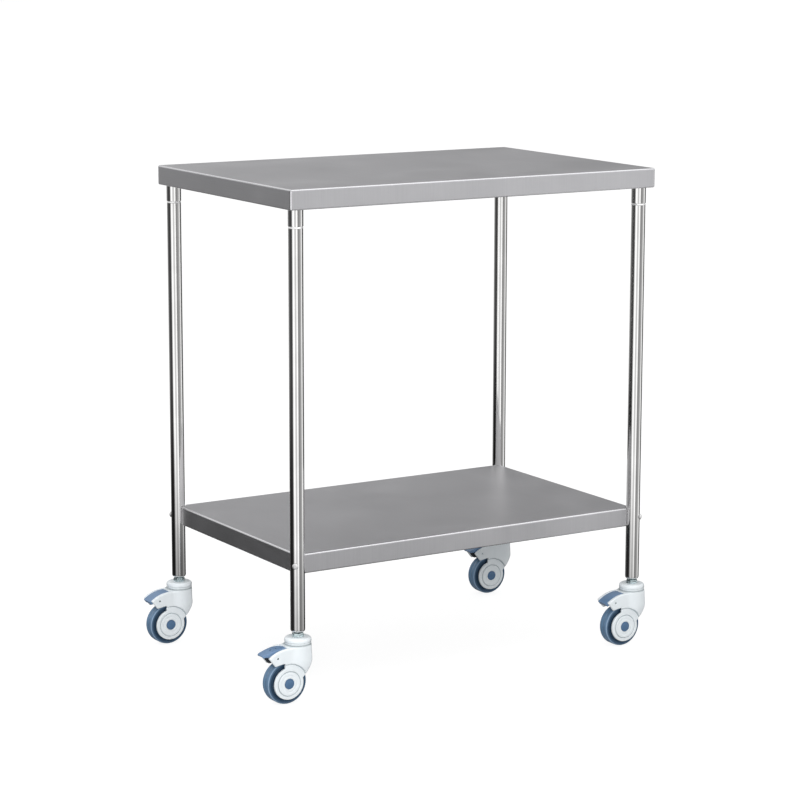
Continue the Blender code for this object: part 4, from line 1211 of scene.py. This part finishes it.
# Painted shade in the reflected floor: the table's shade under it, and a darker spot of the room.
painted_floor_shade = 1.0
for spot, near, far, least in (((0, 0, 0), 0.3, 1.4, 0.45), (SHADY_SPOT, 0.4, 1.9, 0.15)):
    ends = {0: place, 1: spot}
    distance = add(tree, "ShaderNodeVectorMath", ends, operation="DISTANCE").outputs["Value"]
    painted_floor_shade = maths(tree, "MULTIPLY", spread(tree, distance, least, 1.0, near, far), painted_floor_shade)
mirrored_paper = feed(tree, "ShaderNodeBsdfTransparent", {"Color": painted_floor_shade})
rays = add(tree, "ShaderNodeLightPath").outputs
bounce = feed(tree, "ShaderNodeBsdfDiffuse", {"Color": (0.55, 0.55, 0.55, 1)})
lift = feed(tree, "ShaderNodeEmission", {"Strength": 0.88})
lifted = feed(tree, "ShaderNodeAddShader", {0: shader.outputs[0], 1: lift})
plain = feed(tree, "ShaderNodeMixShader", {0: rays["Is Camera Ray"], 1: bounce, 2: lifted})
mixed = feed(tree, "ShaderNodeMixShader", {0: rays["Is Glossy Ray"], 1: plain, 2: mirrored_paper})
tree.links.new(mixed, tree.nodes["Material Output"].inputs["Surface"])

# %% Floor
FLOOR = 30.0
SINK = 0.0004

floor = bpy.data.meshes.new("floor")
floor.from_pydata([(x, y, 0) for x, y in quarters(FLOOR, FLOOR)], [], [(0, 1, 2, 3)])
floor.materials.append(paper)
floor_object = bpy.data.objects.new("floor", floor)
bpy.context.collection.objects.link(floor_object)
floor_object.location.z = -SINK
floor_object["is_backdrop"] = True
print("the floor is", 2 * FLOOR, "m wide and lies", SINK / MM, "mm under the wheels")

# %% [markdown]
# ## Lamps
# One wide soft lamp overhead lights the top faces, and one from the front left models the casters. They are
# left out of reflections, because the walls and the ceiling already stand for them there.

# %% Lamps
def softbox(name, place, target, width, depth, power):
    """A rectangular lamp aimed at a point."""
    lamp = bpy.data.lights.new(name, "AREA")
    lamp.shape = "RECTANGLE"
    lamp.size, lamp.size_y = width, depth
    lamp.energy = power
    made = bpy.data.objects.new(name, lamp)
    bpy.context.collection.objects.link(made)
    made.location = place
    made.rotation_euler = (Vector(target) - Vector(place)).to_track_quat("-Z", "Y").to_euler()
    made.visible_glossy = False
    print(name, "lamp:", power, "watts")


softbox("overhead", (-0.6, -0.5, 3.2), (0, 0, 0.5), 2.6, 2.0, 42)
softbox("front_left", (-2.1, -3.5, 1.5), (0, 0, 0.3), 1.4, 1.2, 94)

# %% [markdown]
# ## Camera
# The camera was fitted to the photograph's straight edges, leg lines and wheel hubs. The picture was cropped
# a little off its own middle, which is the small sideways shift.

# %% Camera
IMAGE = 800
FOCAL = 2681.0
PRINCIPAL_X = 450.0
YAW, PITCH, ROLL = math.radians(-32.57), math.radians(10.50), math.radians(0.29)
AIM = Vector((0, 0, -0.450))
AIM_PIXEL = (405.8, 412.3)
DISTANCE = 4.903

back = Vector((math.sin(YAW) * math.cos(PITCH), -math.cos(YAW) * math.cos(PITCH), math.sin(PITCH)))
right = Vector((0, 0, 1)).cross(back).normalized()
up = back.cross(right)
right, up = right * math.cos(ROLL) + up * math.sin(ROLL), up * math.cos(ROLL) - right * math.sin(ROLL)
off_x = (AIM_PIXEL[0] - PRINCIPAL_X) * DISTANCE / FOCAL
off_y = -(AIM_PIXEL[1] - IMAGE / 2) * DISTANCE / FOCAL
aim = Vector((table_centre.x, table_centre.y, top_high.z)) + AIM
eye = aim - right * off_x - up * off_y + back * DISTANCE

lens = bpy.data.cameras.new("camera")
lens.sensor_width = 36
lens.lens = lens.sensor_width * FOCAL / IMAGE
lens.shift_x = -(PRINCIPAL_X - IMAGE / 2) / IMAGE
lens.clip_end = 80
camera = bpy.data.objects.new("camera", lens)
bpy.context.collection.objects.link(camera)
camera.matrix_world = Matrix((
    (right.x, up.x, back.x, eye.x),
    (right.y, up.y, back.y, eye.y),
    (right.z, up.z, back.z, eye.z),
    (0, 0, 0, 1),
))
bpy.context.scene.camera = camera
bpy.context.scene.view_settings.view_transform = "Standard"
print("camera at", [round(v, 3) for v in eye], "lens", round(lens.lens, 1), "mm")

# %% Sizes and the end
bpy.context.view_layer.update()
visual_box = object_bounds()
grown = [[round((b - a) / MM, 2) for a, b in zip(s, v)] for s, v in zip(solid_box, visual_box)]
print("grown by", grown, "mm")
